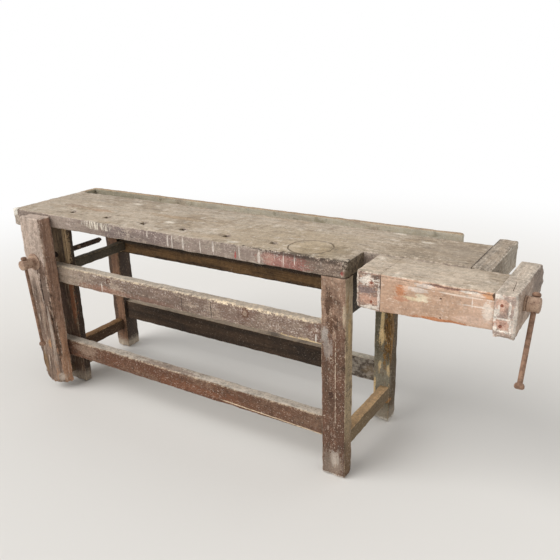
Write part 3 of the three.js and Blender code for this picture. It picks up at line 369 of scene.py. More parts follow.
def weather(timber, along, swell, fibre, knocks, joints):
    """Age a timber: a slow swell of its faces, raised grain along it, and arrises that
    knocks and rubbing have taken down unevenly. The wear is kept for its finish."""
    worn_width = 0.016
    weights = arris_weights(timber, worn_width, joints)
    roughen(timber, "swell", along, (0.14, 0.5), swell)
    roughen(timber, "fibre", along, (0.011, 0.2), fibre)
    roughen(timber, "knocks", along, (0.016, 0.04), knocks, 3, weights)
    worn = timber.data.attributes.new("arris", "FLOAT", "POINT")
    worn.data.foreach_set("value", weights)
    bpy.ops.object.shade_smooth_by_angle(angle=timber_crease)


def age(timber, along, eased, spacing, wear, joints=()):
    """Ease a timber's arrises by a width, score it and weather it; the wear is the swell,
    the raised grain and the knocks."""
    ease_all(timber, eased, joints)
    score(timber, spacing)
    weather(timber, along, *wear, joints)


def settle(piece, body, slot, finish, *nodes):
    """Give a piece its finish and its place in the model."""
    piece.data.materials.clear()
    piece.data.materials.append(finish)
    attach(piece, body)
    if nodes:
        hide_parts(*nodes)


class Coat:
    """The finish of one timber as it is built up: bare wood first, then stains, paint and dirt.
    Its colours are given as they are seen on a screen, 0 to 255."""

    mark_depth = 0.02

    def __init__(self, name, along, pale, deep, worn=True):
        self.finish = bpy.data.materials.new(name)
        self.finish.use_nodes = True
        self.along = along
        sheet = Wire(self.finish.node_tree)
        self.place = sheet.node("ShaderNodeTexCoord", {}, {}, "Object")
        self.x, self.y, self.z = [self.place.part(axis) for axis in range(3)]
        self.facing = sheet.node("ShaderNodeTexCoord", {}, {}, "Normal")
        self.grain = self.drawn(0.05).noise(36, 6, 0.66, 0.5)
        self.streak = self.drawn(0.09).noise(150, 4, 0.7)
        self.mottle = self.drawn(0.35).noise(36, 7, 0.74, 0.2)
        self.rim = self.place.noise(64, 6, 0.7)
        self.blot = self.place.noise(5.5, 5, 0.62, 0.5)
        self.grit = self.place.noise(170, 4, 0.75)
        self.fine = self.drawn(0.55).noise(260, 2, 0.6)
        self.colour = self.mixed(self.grain.band(0.36, 0.64), pale, deep)
        self.height = self.grain * 0.5 + self.mottle * 0.4 + self.streak * 0.35
        self.arris = None
        if worn:
            self.arris = sheet.node("ShaderNodeAttribute", {"attribute_name": "arris"}, {}, "Fac")

    def drawn(self, share):
        """The place, with the grain's direction drawn out by 1 / share."""
        return self.place.vector("MULTIPLY", [share if axis == self.along else 1.0 for axis in range(3)])

    def mixed(self, mask, light, deep):
        """A colour that changes from light to deep with a mask."""
        tones = [tone if isinstance(tone, Wire) else srgb(*tone) for tone in (light, deep)]
        return mask.over(*tones)

    def lay(self, mask, tone, strength=1.0):
        """Cover the finish with a colour where a mask says."""
        if strength != 1.0:
            mask = mask * strength
        self.colour = self.mixed(mask, self.colour, tone)

    def side(self, axis, sign):
        """A mask of the faces that look along an axis."""
        return (self.facing.part(axis) * sign).band(0.5, 0.75)

    def level(self, drift):
        """The height above the floor, made uneven by slow blots."""
        return self.z + (self.blot - 0.5) * drift

    def foot(self, drift, high, low):
        """A mask of the foot of a post, up to a ragged edge."""
        return (self.z + (self.rim - 0.5) * drift).band(high, low)

    def line(self, value, place, drift, wide, core):
        """A mask of a wavering line where a value passes a place."""
        return abs(value + (self.rim - 0.5) * drift - place).band(wide, core)

    def spot(self, centre, reach, ragged):
        """A mask of a ragged spot of these half sizes."""
        far = self.place.vector("SUBTRACT", centre).vector("DIVIDE", reach).length()
        edge = self.rim + self.grit + self.streak * 1.2 - 1.6
        return (far + edge * (2.0 * ragged)).band(1.1, 0.88)

    def spots(self, places, strength, ragged=0.8):
        """Lay a list of spots, each a centre, half sizes and a colour."""
        for centre, reach, tone in places:
            self.lay(self.spot(centre, reach, ragged), tone, strength)

    def marks(self, plane, places, strength, ragged=0.8, where=1.0):
        """Lay spots on a face that looks to the front, at this plane. Each has its place across
        and up, its half sizes and a colour."""
        for across, up, half_width, half_height, tone in places:
            reach = (half_width, self.mark_depth, half_height)
            mask = self.spot((across, plane, up), reach, ragged)
            self.lay(mask * where, tone, strength)

    def flecks(self, share):
        """A mask of fine scattered specks; a lower share means more of them."""
        return self.fine.band(share, share + 0.05)

    def speckle(self, share, soft=0.05):
        """A mask of coarse specks in clusters; a lower share means more of them."""
        return (self.grit * 0.7 + self.mottle * 0.3).band(share, share + soft)

    def blots(self, scale, share, soft=0.05):
        """A mask of scattered marks of a given scale."""
        return self.place.noise(scale, 5, 0.68, 0.3).band(share, share + soft)

    def rub(self, tone, strength):
        """Wear the arrises through to a colour, here and there."""
        bare = self.arris * self.arris * 0.6 + self.rim * 0.5 + self.grit * 0.35
        self.lay(bare.band(0.97, 1.09), tone, strength)

    def paint(self, where, light, deep, cover):
        """Old paint on some faces, worn off in ragged patches; cover is about the share left."""
        hue = self.mixed((self.grit * 0.5 + self.rim * 0.5).band(0.44, 0.57), light, deep)
        edge = 0.5 + (0.5 - cover) * 0.28
        kept = (self.mottle * 0.6 + self.blot * 0.4).band(edge - 0.03, edge + 0.03)
        self.lay(kept * where, hue)

    def checks(self, tone, strength):
        """Fine drying checks along the grain."""
        line = abs(self.grain - 0.5).band(0.014, 0.003) * self.blot.band(0.5, 0.6)
        self.lay(line, tone, strength)
        self.height = self.height - line * 0.6

    def close(self, contrast=1.2):
        """Shade the finish with its grain and grit and hand it over."""
        cloud = self.mottle + self.rim * 0.9 + self.streak * 0.4 + self.grit * 1.0 + self.grain * 0.4
        tone = cloud * contrast + (1.0 - 1.85 * contrast)
        self.colour = tone.shading(self.colour)
        relief = {"Strength": 0.45, "Distance": 0.004, "Height": self.height}
        bumped = self.height.node("ShaderNodeBump", {}, relief, "Normal")
        shader = self.finish.node_tree.nodes["Principled BSDF"]
        links = self.finish.node_tree.links
        links.new(self.colour.socket, shader.inputs["Base Color"])
        links.new((self.mottle * 0.3 + 0.67).socket, shader.inputs["Roughness"])
        links.new(bumped.socket, shader.inputs["Normal"])
        shader.inputs["Specular IOR Level"].default_value = 0.3
        return self.finish


face_gap = 0.0003
slab_low, slab_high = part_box("top_slab")
slab_low.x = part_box("left_end_cap")[1].x + face_gap
tray_low, tray_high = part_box("tray_floor")
jaw_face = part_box("front_right_leg")[1].x
slab_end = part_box("end_cap")[0].x - face_gap
recess_depth = 0.126
recess_back = slab_low.y + recess_depth
rabbet = slab_high.y - tray_low.y
rabbet_top = tray_high.z + face_gap
dog_hole = 0.022
dog_hole_inset = 0.076
dog_hole_pitch = 0.199
first_dog_hole = 0.312
dog_hole_row = slab_low.y + dog_hole_inset
dog_hole_places = [jaw_face - first_dog_hole - dog_hole_pitch * count for count in range(6)]

slab = squared_timber("bench_slab", slab_low, (jaw_face, slab_high.y - rabbet, slab_high.z))
with editing():
    saw_through(1, recess_back)
    pick(slab, "FACE", lambda face: face.normal.x > 0.9 and face.calc_center_median().y > recess_back)
    pull((slab_end - jaw_face, 0, 0))
    saw_through(2, rabbet_top)
    pick(slab, "FACE", lambda face: face.normal.y > 0.9 and face.calc_center_median().z > rabbet_top)
    pull((0, rabbet, 0))
    for hole_place in dog_hole_places:
        saw_through(0, hole_place - dog_hole / 2)
        saw_through(0, hole_place + dog_hole / 2)
    saw_through(1, dog_hole_row - dog_hole / 2)
    saw_through(1, dog_hole_row + dog_hole / 2)
    for hole_place in dog_hole_places:
        hole_centre = Vector((hole_place, dog_hole_row))
        pick(
            slab,
            "FACE",
            lambda face: abs(face.normal.z) > 0.9
            and (face.calc_center_median().xy - hole_centre).length < dog_hole / 4,
        )
        bpy.ops.mesh.bridge_edge_loops()
ease(slab, 0.018, 5, edge_at(x=jaw_face, y=slab_low.y))
slab_joints = ((0, slab_low.x), (0, slab_end), (1, slab_high.y - rabbet))
age(slab, 0, 0.005, (0.012, 0.012, 0.012), (0.0016, 0.0009, 0.0032), slab_joints)

coat = Coat("slab_finish", 0, (188, 174, 156), (168, 152, 133))
coat.lay(coat.blot.band(0.48, 0.64), (154, 134, 109), 0.65)
coat.lay(coat.x.band(-0.55, -1.0), (150, 135, 117), 0.25)
# darker towards the rear of the top, less so at the right
darker_rear = coat.y.band(-0.02, 0.18) * (1.0 - coat.x.band(-0.35, 0.1) * 0.7)
coat.lay(darker_rear, (150, 136, 120), 0.42)
browned = coat.x.band(-0.15, 0.15) * coat.x.band(0.55, 0.4)
coat.lay(browned * coat.y.band(0.13, 0.05), (158, 138, 108), 0.4)
coat.lay(coat.blots(14, 0.54, 0.1), (140, 123, 103), 0.6)
coat.lay(coat.blots(17, 0.57, 0.1), (204, 192, 176), 0.55)
coat.lay(coat.blots(30, 0.57, 0.09), (136, 119, 100), 0.35)
coat.lay(coat.mottle.band(0.55, 0.69), (130, 114, 97), 0.5)
coat.lay(coat.streak.band(0.58, 0.7), (204, 193, 177), 0.3)
coat.lay(coat.blots(24, 0.58, 0.08), (204, 193, 178), 0.45)
coat.lay(coat.speckle(0.57), (108, 92, 76), 0.45)
coat.lay(coat.flecks(0.66), (222, 213, 200), 0.6)
coat.lay(coat.blots(58, 0.64), (98, 84, 69), 0.55)
coat.checks((92, 78, 64), 0.5)
for hole_place in dog_hole_places:
    smudge = coat.spot((hole_place - 0.004, dog_hole_row, slab_high.z), (0.028, 0.016, 0.03), 0.9)
    coat.lay(smudge, (128, 110, 91), 0.25)
    # painted light: the walls of each dog hole are coloured pale against the shade inside it
    hole_wall_light = coat.spot((hole_place, dog_hole_row, 0.76), (0.017, 0.017, 0.038), 0.1)
    coat.lay(hole_wall_light, (232, 204, 170), 0.95)
# dark dirt by the end cap, chalk strokes at the left, and the ring left by a hot pot
coat.spots(
    (
        ((0.78, 0.06, 0.8), (0.17, 0.16, 0.03), (132, 116, 98)),
        ((0.63, 0.0, 0.8), (0.12, 0.07, 0.03), (146, 129, 108)),
        ((0.44, -0.10, 0.8), (0.05, 0.07, 0.03), (140, 124, 98)),
        ((-0.86, -0.02, 0.8), (0.06, 0.02, 0.02), (140, 110, 84)),
        ((-0.70, -0.03, 0.8), (0.07, 0.02, 0.02), (150, 116, 86)),
        ((-0.35, 0.02, 0.8), (0.12, 0.02, 0.02), (150, 126, 98)),
    ),
    0.5,
    1.2,
)
chalk_places = ((-0.76, 0.02), (-0.63, 0.12), (-0.30, -0.05), (0.08, -0.155), (0.55, 0.19), (0.67, 0.13))
for chalk_place in chalk_places:
    chalk = coat.spot((*chalk_place, 0.8), (0.024, 0.010, 0.02), 1.3)
    coat.lay(chalk, (222, 212, 196), 0.7)
ring_centre = (0.346, -0.088, slab_high.z)
ring_gap = coat.place.vector("SUBTRACT", ring_centre).vector("MULTIPLY", (1.0, 1.0, 0.0))
ring_far = ring_gap.length()
ring_radius = 0.076
ring_line = coat.line(ring_far, ring_radius, 0.008, 0.0042, 0.0015)
ring_top = coat.side(2, 1)
coat.lay(ring_far.band(0.08, 0.05) * ring_top, (176, 156, 124), 0.25)
coat.lay(ring_line * ring_top * coat.mottle.band(0.36, 0.52), (88, 74, 54), 0.85)
# old paint down the front edge, with a red stretch, white drips and red spots
slab_front = coat.side(1, -1)
coat.lay(slab_front, (164, 149, 135))
coat.paint(slab_front, (146, 130, 119), (112, 96, 88), 0.62)
coat.marks(
    slab_low.y,
    (
        (-0.76, 0.772, 0.10, 0.05, (176, 160, 148)),
        (-0.475, 0.765, 0.06, 0.03, (104, 89, 88)),
        (-0.30, 0.775, 0.12, 0.02, (112, 96, 92)),
        (0.44, 0.77, 0.11, 0.06, (112, 93, 79)),
        (0.30, 0.764, 0.09, 0.027, (160, 98, 88)),
        (0.235, 0.772, 0.03, 0.022, (170, 128, 114)),
    ),
    0.6,
    1.0,
    slab_front,
)
coat.lay(coat.x.band(-0.45, -0.7) * slab_front, (128, 112, 100), 0.35)
slab_middle = coat.x.band(-0.25, -0.1) * coat.x.band(0.25, 0.18)
coat.lay(slab_middle * slab_front, (186, 169, 154), 0.12)
coat.lay(coat.speckle(0.555) * slab_front, (186, 174, 165), 0.6)
coat.lay(coat.flecks(0.64) * slab_front, (206, 196, 186), 0.55)
right_third = coat.x.band(0.36, 0.42) * slab_front
coat.lay(right_third * coat.speckle(0.5, 0.06), (164, 146, 128), 0.6)
coat.lay(right_third * coat.mottle.band(0.54, 0.6), (84, 66, 56), 0.6)
coat.lay(coat.blots(90, 0.61) * slab_front, (74, 60, 56), 0.6)
runs = coat.place.vector("MULTIPLY", (1.0, 1.0, 0.1)).noise(130, 4, 0.7)
coat.lay(runs.band(0.6, 0.66) * slab_front, (200, 188, 178), 0.45)
spill = (-0.568, 0.788, 0.072, 0.02, (224, 214, 196))
coat.marks(slab_low.y, (spill,), 0.85, 0.9, slab_front * runs.band(0.44, 0.52))
white_drips = (
    (-0.303, 0.0022, 0.014),
    (-0.203, 0.0035, 0.026),
    (-0.182, 0.0026, 0.027),
    (-0.131, 0.0040, 0.026),
    (-0.052, 0.0024, 0.026),
    (0.006, 0.0050, 0.020),
    (0.117, 0.0020, 0.022),
    (0.198, 0.0052, 0.028),
    (0.294, 0.0024, 0.022),
    (0.336, 0.0022, 0.020),
)
drip_head = 0.796
for drip_place, drip_half, drip_drop in white_drips:
    drip = (drip_place, drip_head - drip_drop, drip_half, drip_drop, (212, 200, 188))
    coat.marks(slab_low.y, (drip,), 0.8, 0.75, slab_front)
coat.marks(
    slab_low.y,
    (
        (0.101, 0.762, 0.004, 0.014, (164, 66, 62)),
        (0.509, 0.758, 0.007, 0.009, (150, 66, 60)),
    ),
    0.8,
    0.6,
)
slab_end_grain = coat.mixed(coat.grit.band(0.42, 0.58), (150, 132, 108), (88, 77, 61))
coat.lay(coat.side(0, 1), slab_end_grain, 0.85)
end_pits = coat.side(0, 1) * (coat.mottle + coat.rim).band(0.98, 1.12)
coat.lay(end_pits, (58, 48, 38), 0.75)
coat.lay(coat.side(2, -1), (112, 98, 82), 0.9)
coat.rub((198, 184, 165), 0.5)
chipped = coat.arris.band(0.1, 0.6) * coat.spot((0.38, -0.172, 0.79), (0.15, 0.03, 0.017), 2.0)
coat.lay(chipped, (66, 54, 46), 0.8)
settle(slab, "bench", "top_wood", coat.close(1.3), "top_slab")


# The left end cap, a cleat across the slab's end on its tongue, deeper than the slab. Its
# front corner is worn round, and the end grain there is white with old filler.

left_cap_low, left_cap_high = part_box("left_end_cap")
left_cap = squared_timber("dressed_left_cap", left_cap_low, left_cap_high)
ease(left_cap, 0.010, 4, edge_at(x=left_cap_low.x, y=left_cap_low.y))
left_cap_joints = ((0, left_cap_high.x), (1, left_cap_high.y))
age(left_cap, 1, 0.005, (0.008, 0.012, 0.009), (0.0014, 0.0009, 0.003), left_cap_joints)
coat = Coat("left_cap_finish", 1, (182, 167, 149), (160, 144, 126))
coat.lay(coat.mottle.band(0.55, 0.69), (126, 110, 94), 0.5)
coat.lay(coat.streak.band(0.55, 0.66), (206, 195, 179), 0.5)
coat.lay(coat.side(0, -1), (150, 134, 117), 0.7)
left_cap_front = coat.side(1, -1)
coat.lay(left_cap_front, (172, 158, 144), 0.9)
white_end = (-1.072, 0.792, 0.022, 0.018, (232, 226, 214))
dark_seam = (-1.046, 0.79, 0.004, 0.02, (70, 58, 48))
coat.marks(left_cap_low.y, (white_end,), 0.9)
coat.marks(left_cap_low.y, (dark_seam,), 0.8)
coat.lay(coat.flecks(0.66), (222, 213, 200), 0.6)
coat.lay(coat.speckle(0.58), (104, 90, 76), 0.45)
coat.lay(coat.side(2, -1), (112, 98, 82), 0.9)
coat.rub((212, 200, 184), 0.75)
settle(left_cap, "bench", "top_wood", coat.close(1.7), "left_end_cap")


# The tool tray behind the slab: a thin board in the slab's rabbet, two short end pieces and a
# back board nailed through its foot. All pine, once painted a grey green that is mostly gone.

for tray_node in ("tray_floor", "tray_left_end", "tray_right_end", "tray_back_board"):
    tray_low, tray_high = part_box(tray_node)
    is_end = tray_node.endswith("_end")
    is_floor = tray_node == "tray_floor"
    tray_along = 1 if is_end else 0
    tray_board = squared_timber("dressed_" + tray_node, tray_low, tray_high)
    if tray_node == "tray_back_board":
        ease(tray_board, 0.009, 4, edge_at(x=tray_high.x, z=tray_high.z))
    tray_spacing = (0.012 if is_end else 0.014, 0.008, 0.009)
    tray_wear = (0.0008, 0.0006, 0.001 if is_floor else 0.0022)
    age(tray_board, tray_along, 0.001 if is_floor else 0.003, tray_spacing, tray_wear)
    coat = Coat(tray_node + "_finish", tray_along, (184, 170, 152), (160, 146, 128))
    if is_floor:
        coat.lay(coat.blot.band(0.4, 0.65), (108, 94, 78), 0.8)
    else:
        tray_top = coat.side(2, 1)
        coat.paint(1.0 - tray_top, (196, 188, 170), (168, 158, 138), 0.7)
        coat.lay(coat.blots(20, 0.55, 0.07) * (1.0 - tray_top), (128, 120, 98), 0.55)
        coat.lay((0.4 + coat.grain * 0.8) * tray_top, (150, 122, 91), 0.85)
        coat.lay(coat.x.band(-0.3, -0.9) * (1.0 - tray_top), (122, 116, 96), 0.6)
    coat.lay(coat.mottle.band(0.57, 0.7), (104, 96, 80), 0.55)
    coat.lay(coat.flecks(0.65), (218, 210, 196), 0.6)
    coat.lay(coat.speckle(0.58), (88, 80, 64), 0.5)
    coat.rub((190, 164, 132), 0.5)
    tray_slot = "rail_wood" if is_floor else "top_wood"
    settle(tray_board, "bench", tray_slot, coat.close(), tray_node)


# The end cap, a crosspiece grooved over the slab's tongue and pegged from below. In front it
# carries an arm into the hollow of the tail vise, which holds the nut of its screw.


def cut_away(piece, cutter):
    """Take one shape out of a piece, and the shape away."""
    gap = piece.modifiers.new("gap", "BOOLEAN")
    gap.object = cutter
    gap.operation = "DIFFERENCE"
    gap.solver = "EXACT"
    hold(piece)
    bpy.ops.object.modifier_apply(modifier="gap")
    bpy.ops.object.shade_smooth_by_angle(angle=timber_crease)
    bpy.data.objects.remove(cutter)


turned_crease = math.radians(35)


def turned(name, base, along, stations, sides=40):
    """A turned piece: a disc drawn out along its axis and sized at each station."""
    turn = Vector((0, 0, 1)).rotation_difference(along).to_euler()
    start, width = stations[0]
    bpy.ops.mesh.primitive_circle_add(
        vertices=sides, radius=width, fill_type="NGON", location=base + along * start, rotation=turn
    )
    piece = take(name)
    with editing():
        bpy.ops.mesh.select_all(action="SELECT")
        for reach, radius in stations[1:]:
            pull(along * (reach - start))
            if radius != width:
                factor = [radius / width] * 3
                bpy.ops.transform.resize(value=factor, center_override=base + along * reach)
            start, width = reach, radius
        bpy.ops.mesh.select_all(action="SELECT")
        bpy.ops.mesh.normals_make_consistent(inside=False)
    bpy.ops.object.shade_smooth_by_angle(angle=turned_crease)
    return piece


def bore(piece, base, along, radius):
    """Drill a round hole through a piece, as far either way from a point."""
    half_drill = 0.1
    drill = turned("drill", base, along, ((-half_drill, radius), (half_drill, radius)), 32)
    cut_away(piece, drill)


def middle(node):
    """The middle of a solid's box."""
    low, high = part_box(node)
    return (low + high) / 2


cap_low, cap_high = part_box("end_cap")
cap_arm_length = 0.116
cap_front = cap_low.y + cap_arm_length
cap_arm_top = 0.776
along_x = Vector((1, 0, 0))
tail_screw = middle("tail_vise_screw")
tail_shank = 0.014
bore_clearance = 0.0009
end_cap = squared_timber("dressed_end_cap", (cap_low.x, cap_front, cap_low.z), cap_high)
with editing():
    saw_through(2, cap_arm_top)
    pick(end_cap, "FACE", lambda face: face.normal.y < -0.9 and face.calc_center_median().z < cap_arm_top)
    pull((0, cap_low.y - cap_front, 0))
cap_joints = ((0, cap_low.x),)
age(end_cap, 1, 0.006, (0.010, 0.012, 0.010), (0.0014, 0.0010, 0.0032), cap_joints)
cap_bore = Vector(((cap_low.x + cap_high.x) / 2, tail_screw.y, tail_screw.z))
bore(end_cap, cap_bore, along_x, tail_shank + bore_clearance)
coat = Coat("end_cap_finish", 1, (170, 156, 140), (146, 131, 114))
coat.lay(coat.blot.band(0.48, 0.66), (134, 118, 100), 0.65)
cap_right = coat.mixed(coat.speckle(0.46, 0.1), (174, 164, 149), (124, 113, 99))
coat.lay(coat.side(0, 1), cap_right, 0.9)
coat.lay(coat.mottle.band(0.57, 0.7), (104, 90, 77), 0.6)
coat.lay(coat.streak.band(0.55, 0.66), (204, 193, 178), 0.25)
coat.lay(coat.blots(30, 0.56, 0.07), (122, 107, 90), 0.45)
coat.lay(coat.flecks(0.65), (220, 211, 198), 0.6)
coat.lay(coat.speckle(0.58), (90, 77, 66), 0.5)
coat.lay(coat.spot((0.8665, 0.06, 0.8), (0.004, 0.3, 0.03), 0.6), (62, 51, 43), 0.8)
coat.lay(coat.side(1, -1), (120, 105, 88), 0.7)
coat.rub((208, 196, 180), 0.7)
settle(end_cap, "bench", "top_wood", coat.close(2.0), "end_cap")


# The front right leg, a heavy post tenoned into the slab. Old purple brown paint covers its
# front, thickly speckled with white, with bare rubbed places, and its right side is greener.

leg_top = slab_low.z - face_gap
foot_clearance = 0.002
worn_foot = 0.05


def leg_post(node):
    """One leg: a squared post, eased and worn, most of all round its foot."""
    low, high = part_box(node)
    low.z += foot_clearance
    post = squared_timber("dressed_" + node, low, (high.x, high.y, leg_top))
    age(post, 2, 0.0045, (0.011, 0.011, 0.012), (0.0010, 0.0010, 0.0024), ((2, leg_top),))
    foot = [max(0.0, 1.0 - point.co.z / worn_foot) for point in post.data.vertices]
    roughen(post, "foot_wear", 2, (0.02, 0.02), 0.005, 3, foot)
    return post


right_leg = leg_post("front_right_leg")
coat = Coat("front_right_leg_finish", 2, (128, 106, 90), (98, 78, 66))
leg_front = coat.side(1, -1)
leg_level = coat.level(0.2)
leg_ground = coat.mixed(leg_level.band(0.44, 0.6), (92, 67, 52), (172, 142, 120))
coat.lay(leg_front, leg_ground, 0.9)
painted = leg_front.larger(coat.side(0, -1)) * (1.0 - leg_level.band(0.5, 0.64) * 0.5)
coat.paint(painted, (105, 75, 59), (74, 50, 38), 0.6)
leg_side = coat.side(0, 1)
side_paint = coat.mixed(coat.speckle(0.46, 0.1), (172, 151, 118), (118, 103, 79))
coat.lay(leg_side, side_paint, 0.92)
coat.lay(leg_side * coat.z.band(0.5, 0.72), (204, 186, 160), 0.5)
coat.lay(leg_side * coat.z.band(0.28, 0.05), (92, 66, 46), 0.8)
coat.lay(coat.blot.band(0.54, 0.66), (80, 60, 50), 0.45)
coat.lay(coat.streak.band(0.58, 0.68), (146, 126, 108), 0.3)
coat.lay(coat.blots(30, 0.56, 0.06), (72, 52, 40), 0.5)
coat.lay(coat.blots(42, 0.6, 0.06), (160, 142, 126), 0.45)
coat.lay(coat.speckle(0.57), (176, 157, 136), 0.55)
coat.lay(coat.flecks(0.63), (198, 184, 166), 0.6)
coat.lay(coat.blots(90, 0.61), (58, 42, 36), 0.6)
coat.spots(
    (
        ((0.460, -0.178, 0.650), (0.016, 0.02, 0.036), (74, 48, 32)),
        ((0.469, -0.178, 0.588), (0.020, 0.02, 0.032), (76, 50, 34)),
        ((0.446, -0.178, 0.545), (0.013, 0.02, 0.032), (170, 162, 154)),
        ((0.456, -0.178, 0.490), (0.014, 0.02, 0.044), (152, 140, 130)),
        ((0.471, -0.178, 0.324), (0.010, 0.02, 0.009), (62, 42, 32)),
        ((0.515, -0.178, 0.62), (0.004, 0.02, 0.035), (196, 178, 152)),
        ((0.472, -0.178, 0.050), (0.040, 0.015, 0.060), (138, 123, 109)),
        ((0.482, -0.178, 0.074), (0.014, 0.02, 0.032), (170, 158, 146)),
        ((0.470, -0.178, 0.004), (0.060, 0.03, 0.006), (206, 198, 188)),
        ((0.521, -0.150, 0.555), (0.02, 0.010, 0.05), (186, 158, 112)),
        ((0.521, -0.165, 0.66), (0.02, 0.008, 0.03), (172, 142, 104)),
    ),
    0.7,
    1.2,
)
white_line = coat.line(coat.x, 0.485, 0.008, 0.0018, 0.0008)
white_line = white_line * leg_front * coat.z.band(0.2, 0.24) * coat.z.band(0.56, 0.52)
coat.lay(white_line * coat.rim.band(0.4, 0.52), (206, 190, 168), 0.6)
coat.rub((184, 164, 138), 0.7)
settle(right_leg, "bench", "frame_wood", coat.close(1.5), "front_right_leg")


# The front left leg, a thin wide plank that the leg vise works against, bored for its screw
# and slotted for its guide bar. Grey brown above, dark red brown lower down, its foot pale.

left_leg = leg_post("front_left_leg")
along_y = Vector((0, 1, 0))
leg_screw = middle("leg_vise_screw")
leg_shank = 0.012
leg_bore = leg_shank + bore_clearance
left_leg_low, left_leg_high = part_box("front_left_leg")
left_leg_middle = (left_leg_low.y + left_leg_high.y) / 2
bore(left_leg, Vector((leg_screw.x, left_leg_middle, leg_screw.z)), along_y, leg_bore)
bar_low, bar_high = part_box("leg_vise_guide_bar")
slot_spare = Vector((0.0008, 0.01, 0.0008))
slot_low = Vector((bar_low.x, left_leg_low.y, bar_low.z)) - slot_spare
slot_high = Vector((bar_high.x, left_leg_high.y, bar_high.z)) + slot_spare
cut_away(left_leg, squared_timber("slot", slot_low, slot_high))
coat = Coat("front_left_leg_finish", 2, (150, 128, 102), (108, 91, 72))
left_dark = coat.mixed(coat.rim.band(0.4, 0.6), (98, 70, 54), (62, 43, 34))
coat.lay(coat.level(0.2).band(0.54, 0.46), left_dark, 0.88)
left_side = coat.side(0, 1)
# painted shade: the leg's right side, unlit under the slab, is coloured near black
left_side_shade = coat.mixed(coat.streak.band(0.42, 0.58), (60, 44, 34), (34, 25, 19))
coat.lay(left_side, left_side_shade, 0.9)
coat.lay(coat.mottle.band(0.56, 0.68), (58, 48, 40), 0.6)
coat.lay(coat.streak.band(0.55, 0.64) * (1.0 - left_side * 0.8), (186, 166, 136), 0.45)
coat.marks(
    left_leg_low.y,
    (
        (-0.830, 0.66, 0.013, 0.12, (182, 154, 118)),
        (-0.829, 0.66, 0.0016, 0.10, (60, 48, 38)),
        (-0.835, 0.40, 0.013, 0.12, (138, 88, 58)),
        (-0.850, 0.66, 0.004, 0.10, (70, 60, 52)),
    ),
    0.75,
)
coat.lay(coat.flecks(0.64), (172, 160, 144), 0.5)
left_foot_tone = coat.mixed(coat.grit.band(0.42, 0.58), (176, 162, 144), (126, 112, 98))
coat.lay(coat.foot(0.08, 0.075, 0.02), left_foot_tone, 0.85)
coat.rub((176, 156, 130), 0.5)
settle(left_leg, "bench", "frame_wood", coat.close(1.3), "front_left_leg")


# The rear legs, squared posts behind. The left one shows orange brown wood at its front under
# black grime. The right one is painted nearly black, and a long split in its upper half has
# torn the surface off, down to brown wood with a pale tongue of splinters beside it.

rear_left = leg_post("rear_left_leg")
coat = Coat("rear_left_leg_finish", 2, (142, 106, 80), (106, 78, 60))
coat.lay(coat.side(0, 1), (54, 46, 40), 0.9)
coat.lay(coat.mottle.band(0.52, 0.64), (62, 49, 40), 0.7)
coat.lay(coat.flecks(0.64), (170, 156, 138), 0.5)
coat.lay(coat.spot((-0.98, 0.232, 0.4), (0.02, 0.03, 0.5), 0.8), (58, 48, 42), 0.7)
coat.lay(coat.foot(0.08, 0.06, 0.02), (176, 162, 144), 0.8)
coat.rub((170, 144, 114), 0.6)
settle(rear_left, "bench", "dark_wood", coat.close(1.3), "rear_left_leg")

rear_right = leg_post("rear_right_leg")
rear_right_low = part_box("rear_right_leg")[0]
rot_height = 0.09
rot_width = 0.03
rotten = [
    max(0.0, 1.0 - point.co.z / rot_height) * max(0.0, 1.0 - (point.co.x - rear_right_low.x) / rot_width)
    for point in rear_right.data.vertices
]
roughen(rear_right, "rotten_foot", 2, (0.05, 0.05), 0.022, 2, rotten)
torn_centre = Vector((0.492, rear_right_low.y, 0.37))
torn_reach = Vector((0.019, 0.02, 0.11))
torn = []
for point in rear_right.data.vertices:
    torn_gap = point.co - torn_centre
    torn_far = math.hypot(*(torn_gap[axis] / torn_reach[axis] for axis in range(3)))
    torn.append(min(1.0, max(0.0, (1.15 - torn_far) * 3.0)))
roughen(rear_right, "torn_face", 2, (0.012, 0.08), 0.022, 2, torn)
coat = Coat("rear_right_leg_finish", 2, (150, 128, 100), (116, 96, 74))
coat.paint(coat.mottle.band(0.0, 0.1), (132, 123, 103), (94, 88, 73), 0.75)
rear_right_side = coat.side(0, 1)
coat.lay(rear_right_side, (68, 51, 33), 0.85)
dark_paint = coat.spot((0.455, rear_right_low.y, 0.42), (0.018, 0.03, 0.13), 0.8)
coat.lay(dark_paint, (66, 63, 51), 0.55)
grey_paint = coat.spot((0.475, rear_right_low.y, 0.2), (0.04, 0.03, 0.08), 0.9)
coat.lay(grey_paint, (140, 134, 118), 0.5)
torn_tone = coat.mixed(coat.streak.band(0.42, 0.58), (150, 112, 60), (78, 56, 30))
torn_spot = coat.spot((0.499, rear_right_low.y, 0.385), (0.024, 0.03, 0.125), 1.0)
coat.lay(torn_spot, torn_tone, 0.95)
coat.marks(
    rear_right_low.y,
    (
        (0.4735, 0.44, 0.0065, 0.09, (216, 190, 142)),
        (0.4740, 0.375, 0.0115, 0.036, (220, 192, 142)),
        (0.468, 0.248, 0.007, 0.022, (206, 180, 136)),
        (0.503, 0.238, 0.006, 0.026, (206, 180, 136)),
        (0.446, 0.14, 0.006, 0.05, (206, 176, 128)),
        (0.500, 0.13, 0.006, 0.030, (186, 156, 110)),
        (0.500, 0.10, 0.020, 0.010, (176, 126, 74)),
    ),
    0.9,
    1.3,
)
coat.lay(coat.speckle(0.57), (168, 162, 146), 0.5)
coat.lay(coat.flecks(0.62), (188, 180, 162), 0.55)
coat.lay(coat.blots(90, 0.62), (48, 46, 40), 0.6)
coat.lay(coat.foot(0.06, 0.08, 0.04), (146, 134, 118), 0.7)
coat.lay(coat.foot(0.03, 0.022, 0.008), (206, 198, 186), 0.8)
coat.rub((180, 154, 116), 0.6)
settle(rear_right, "bench", "dark_wood", coat.close(1.4), "rear_right_leg")


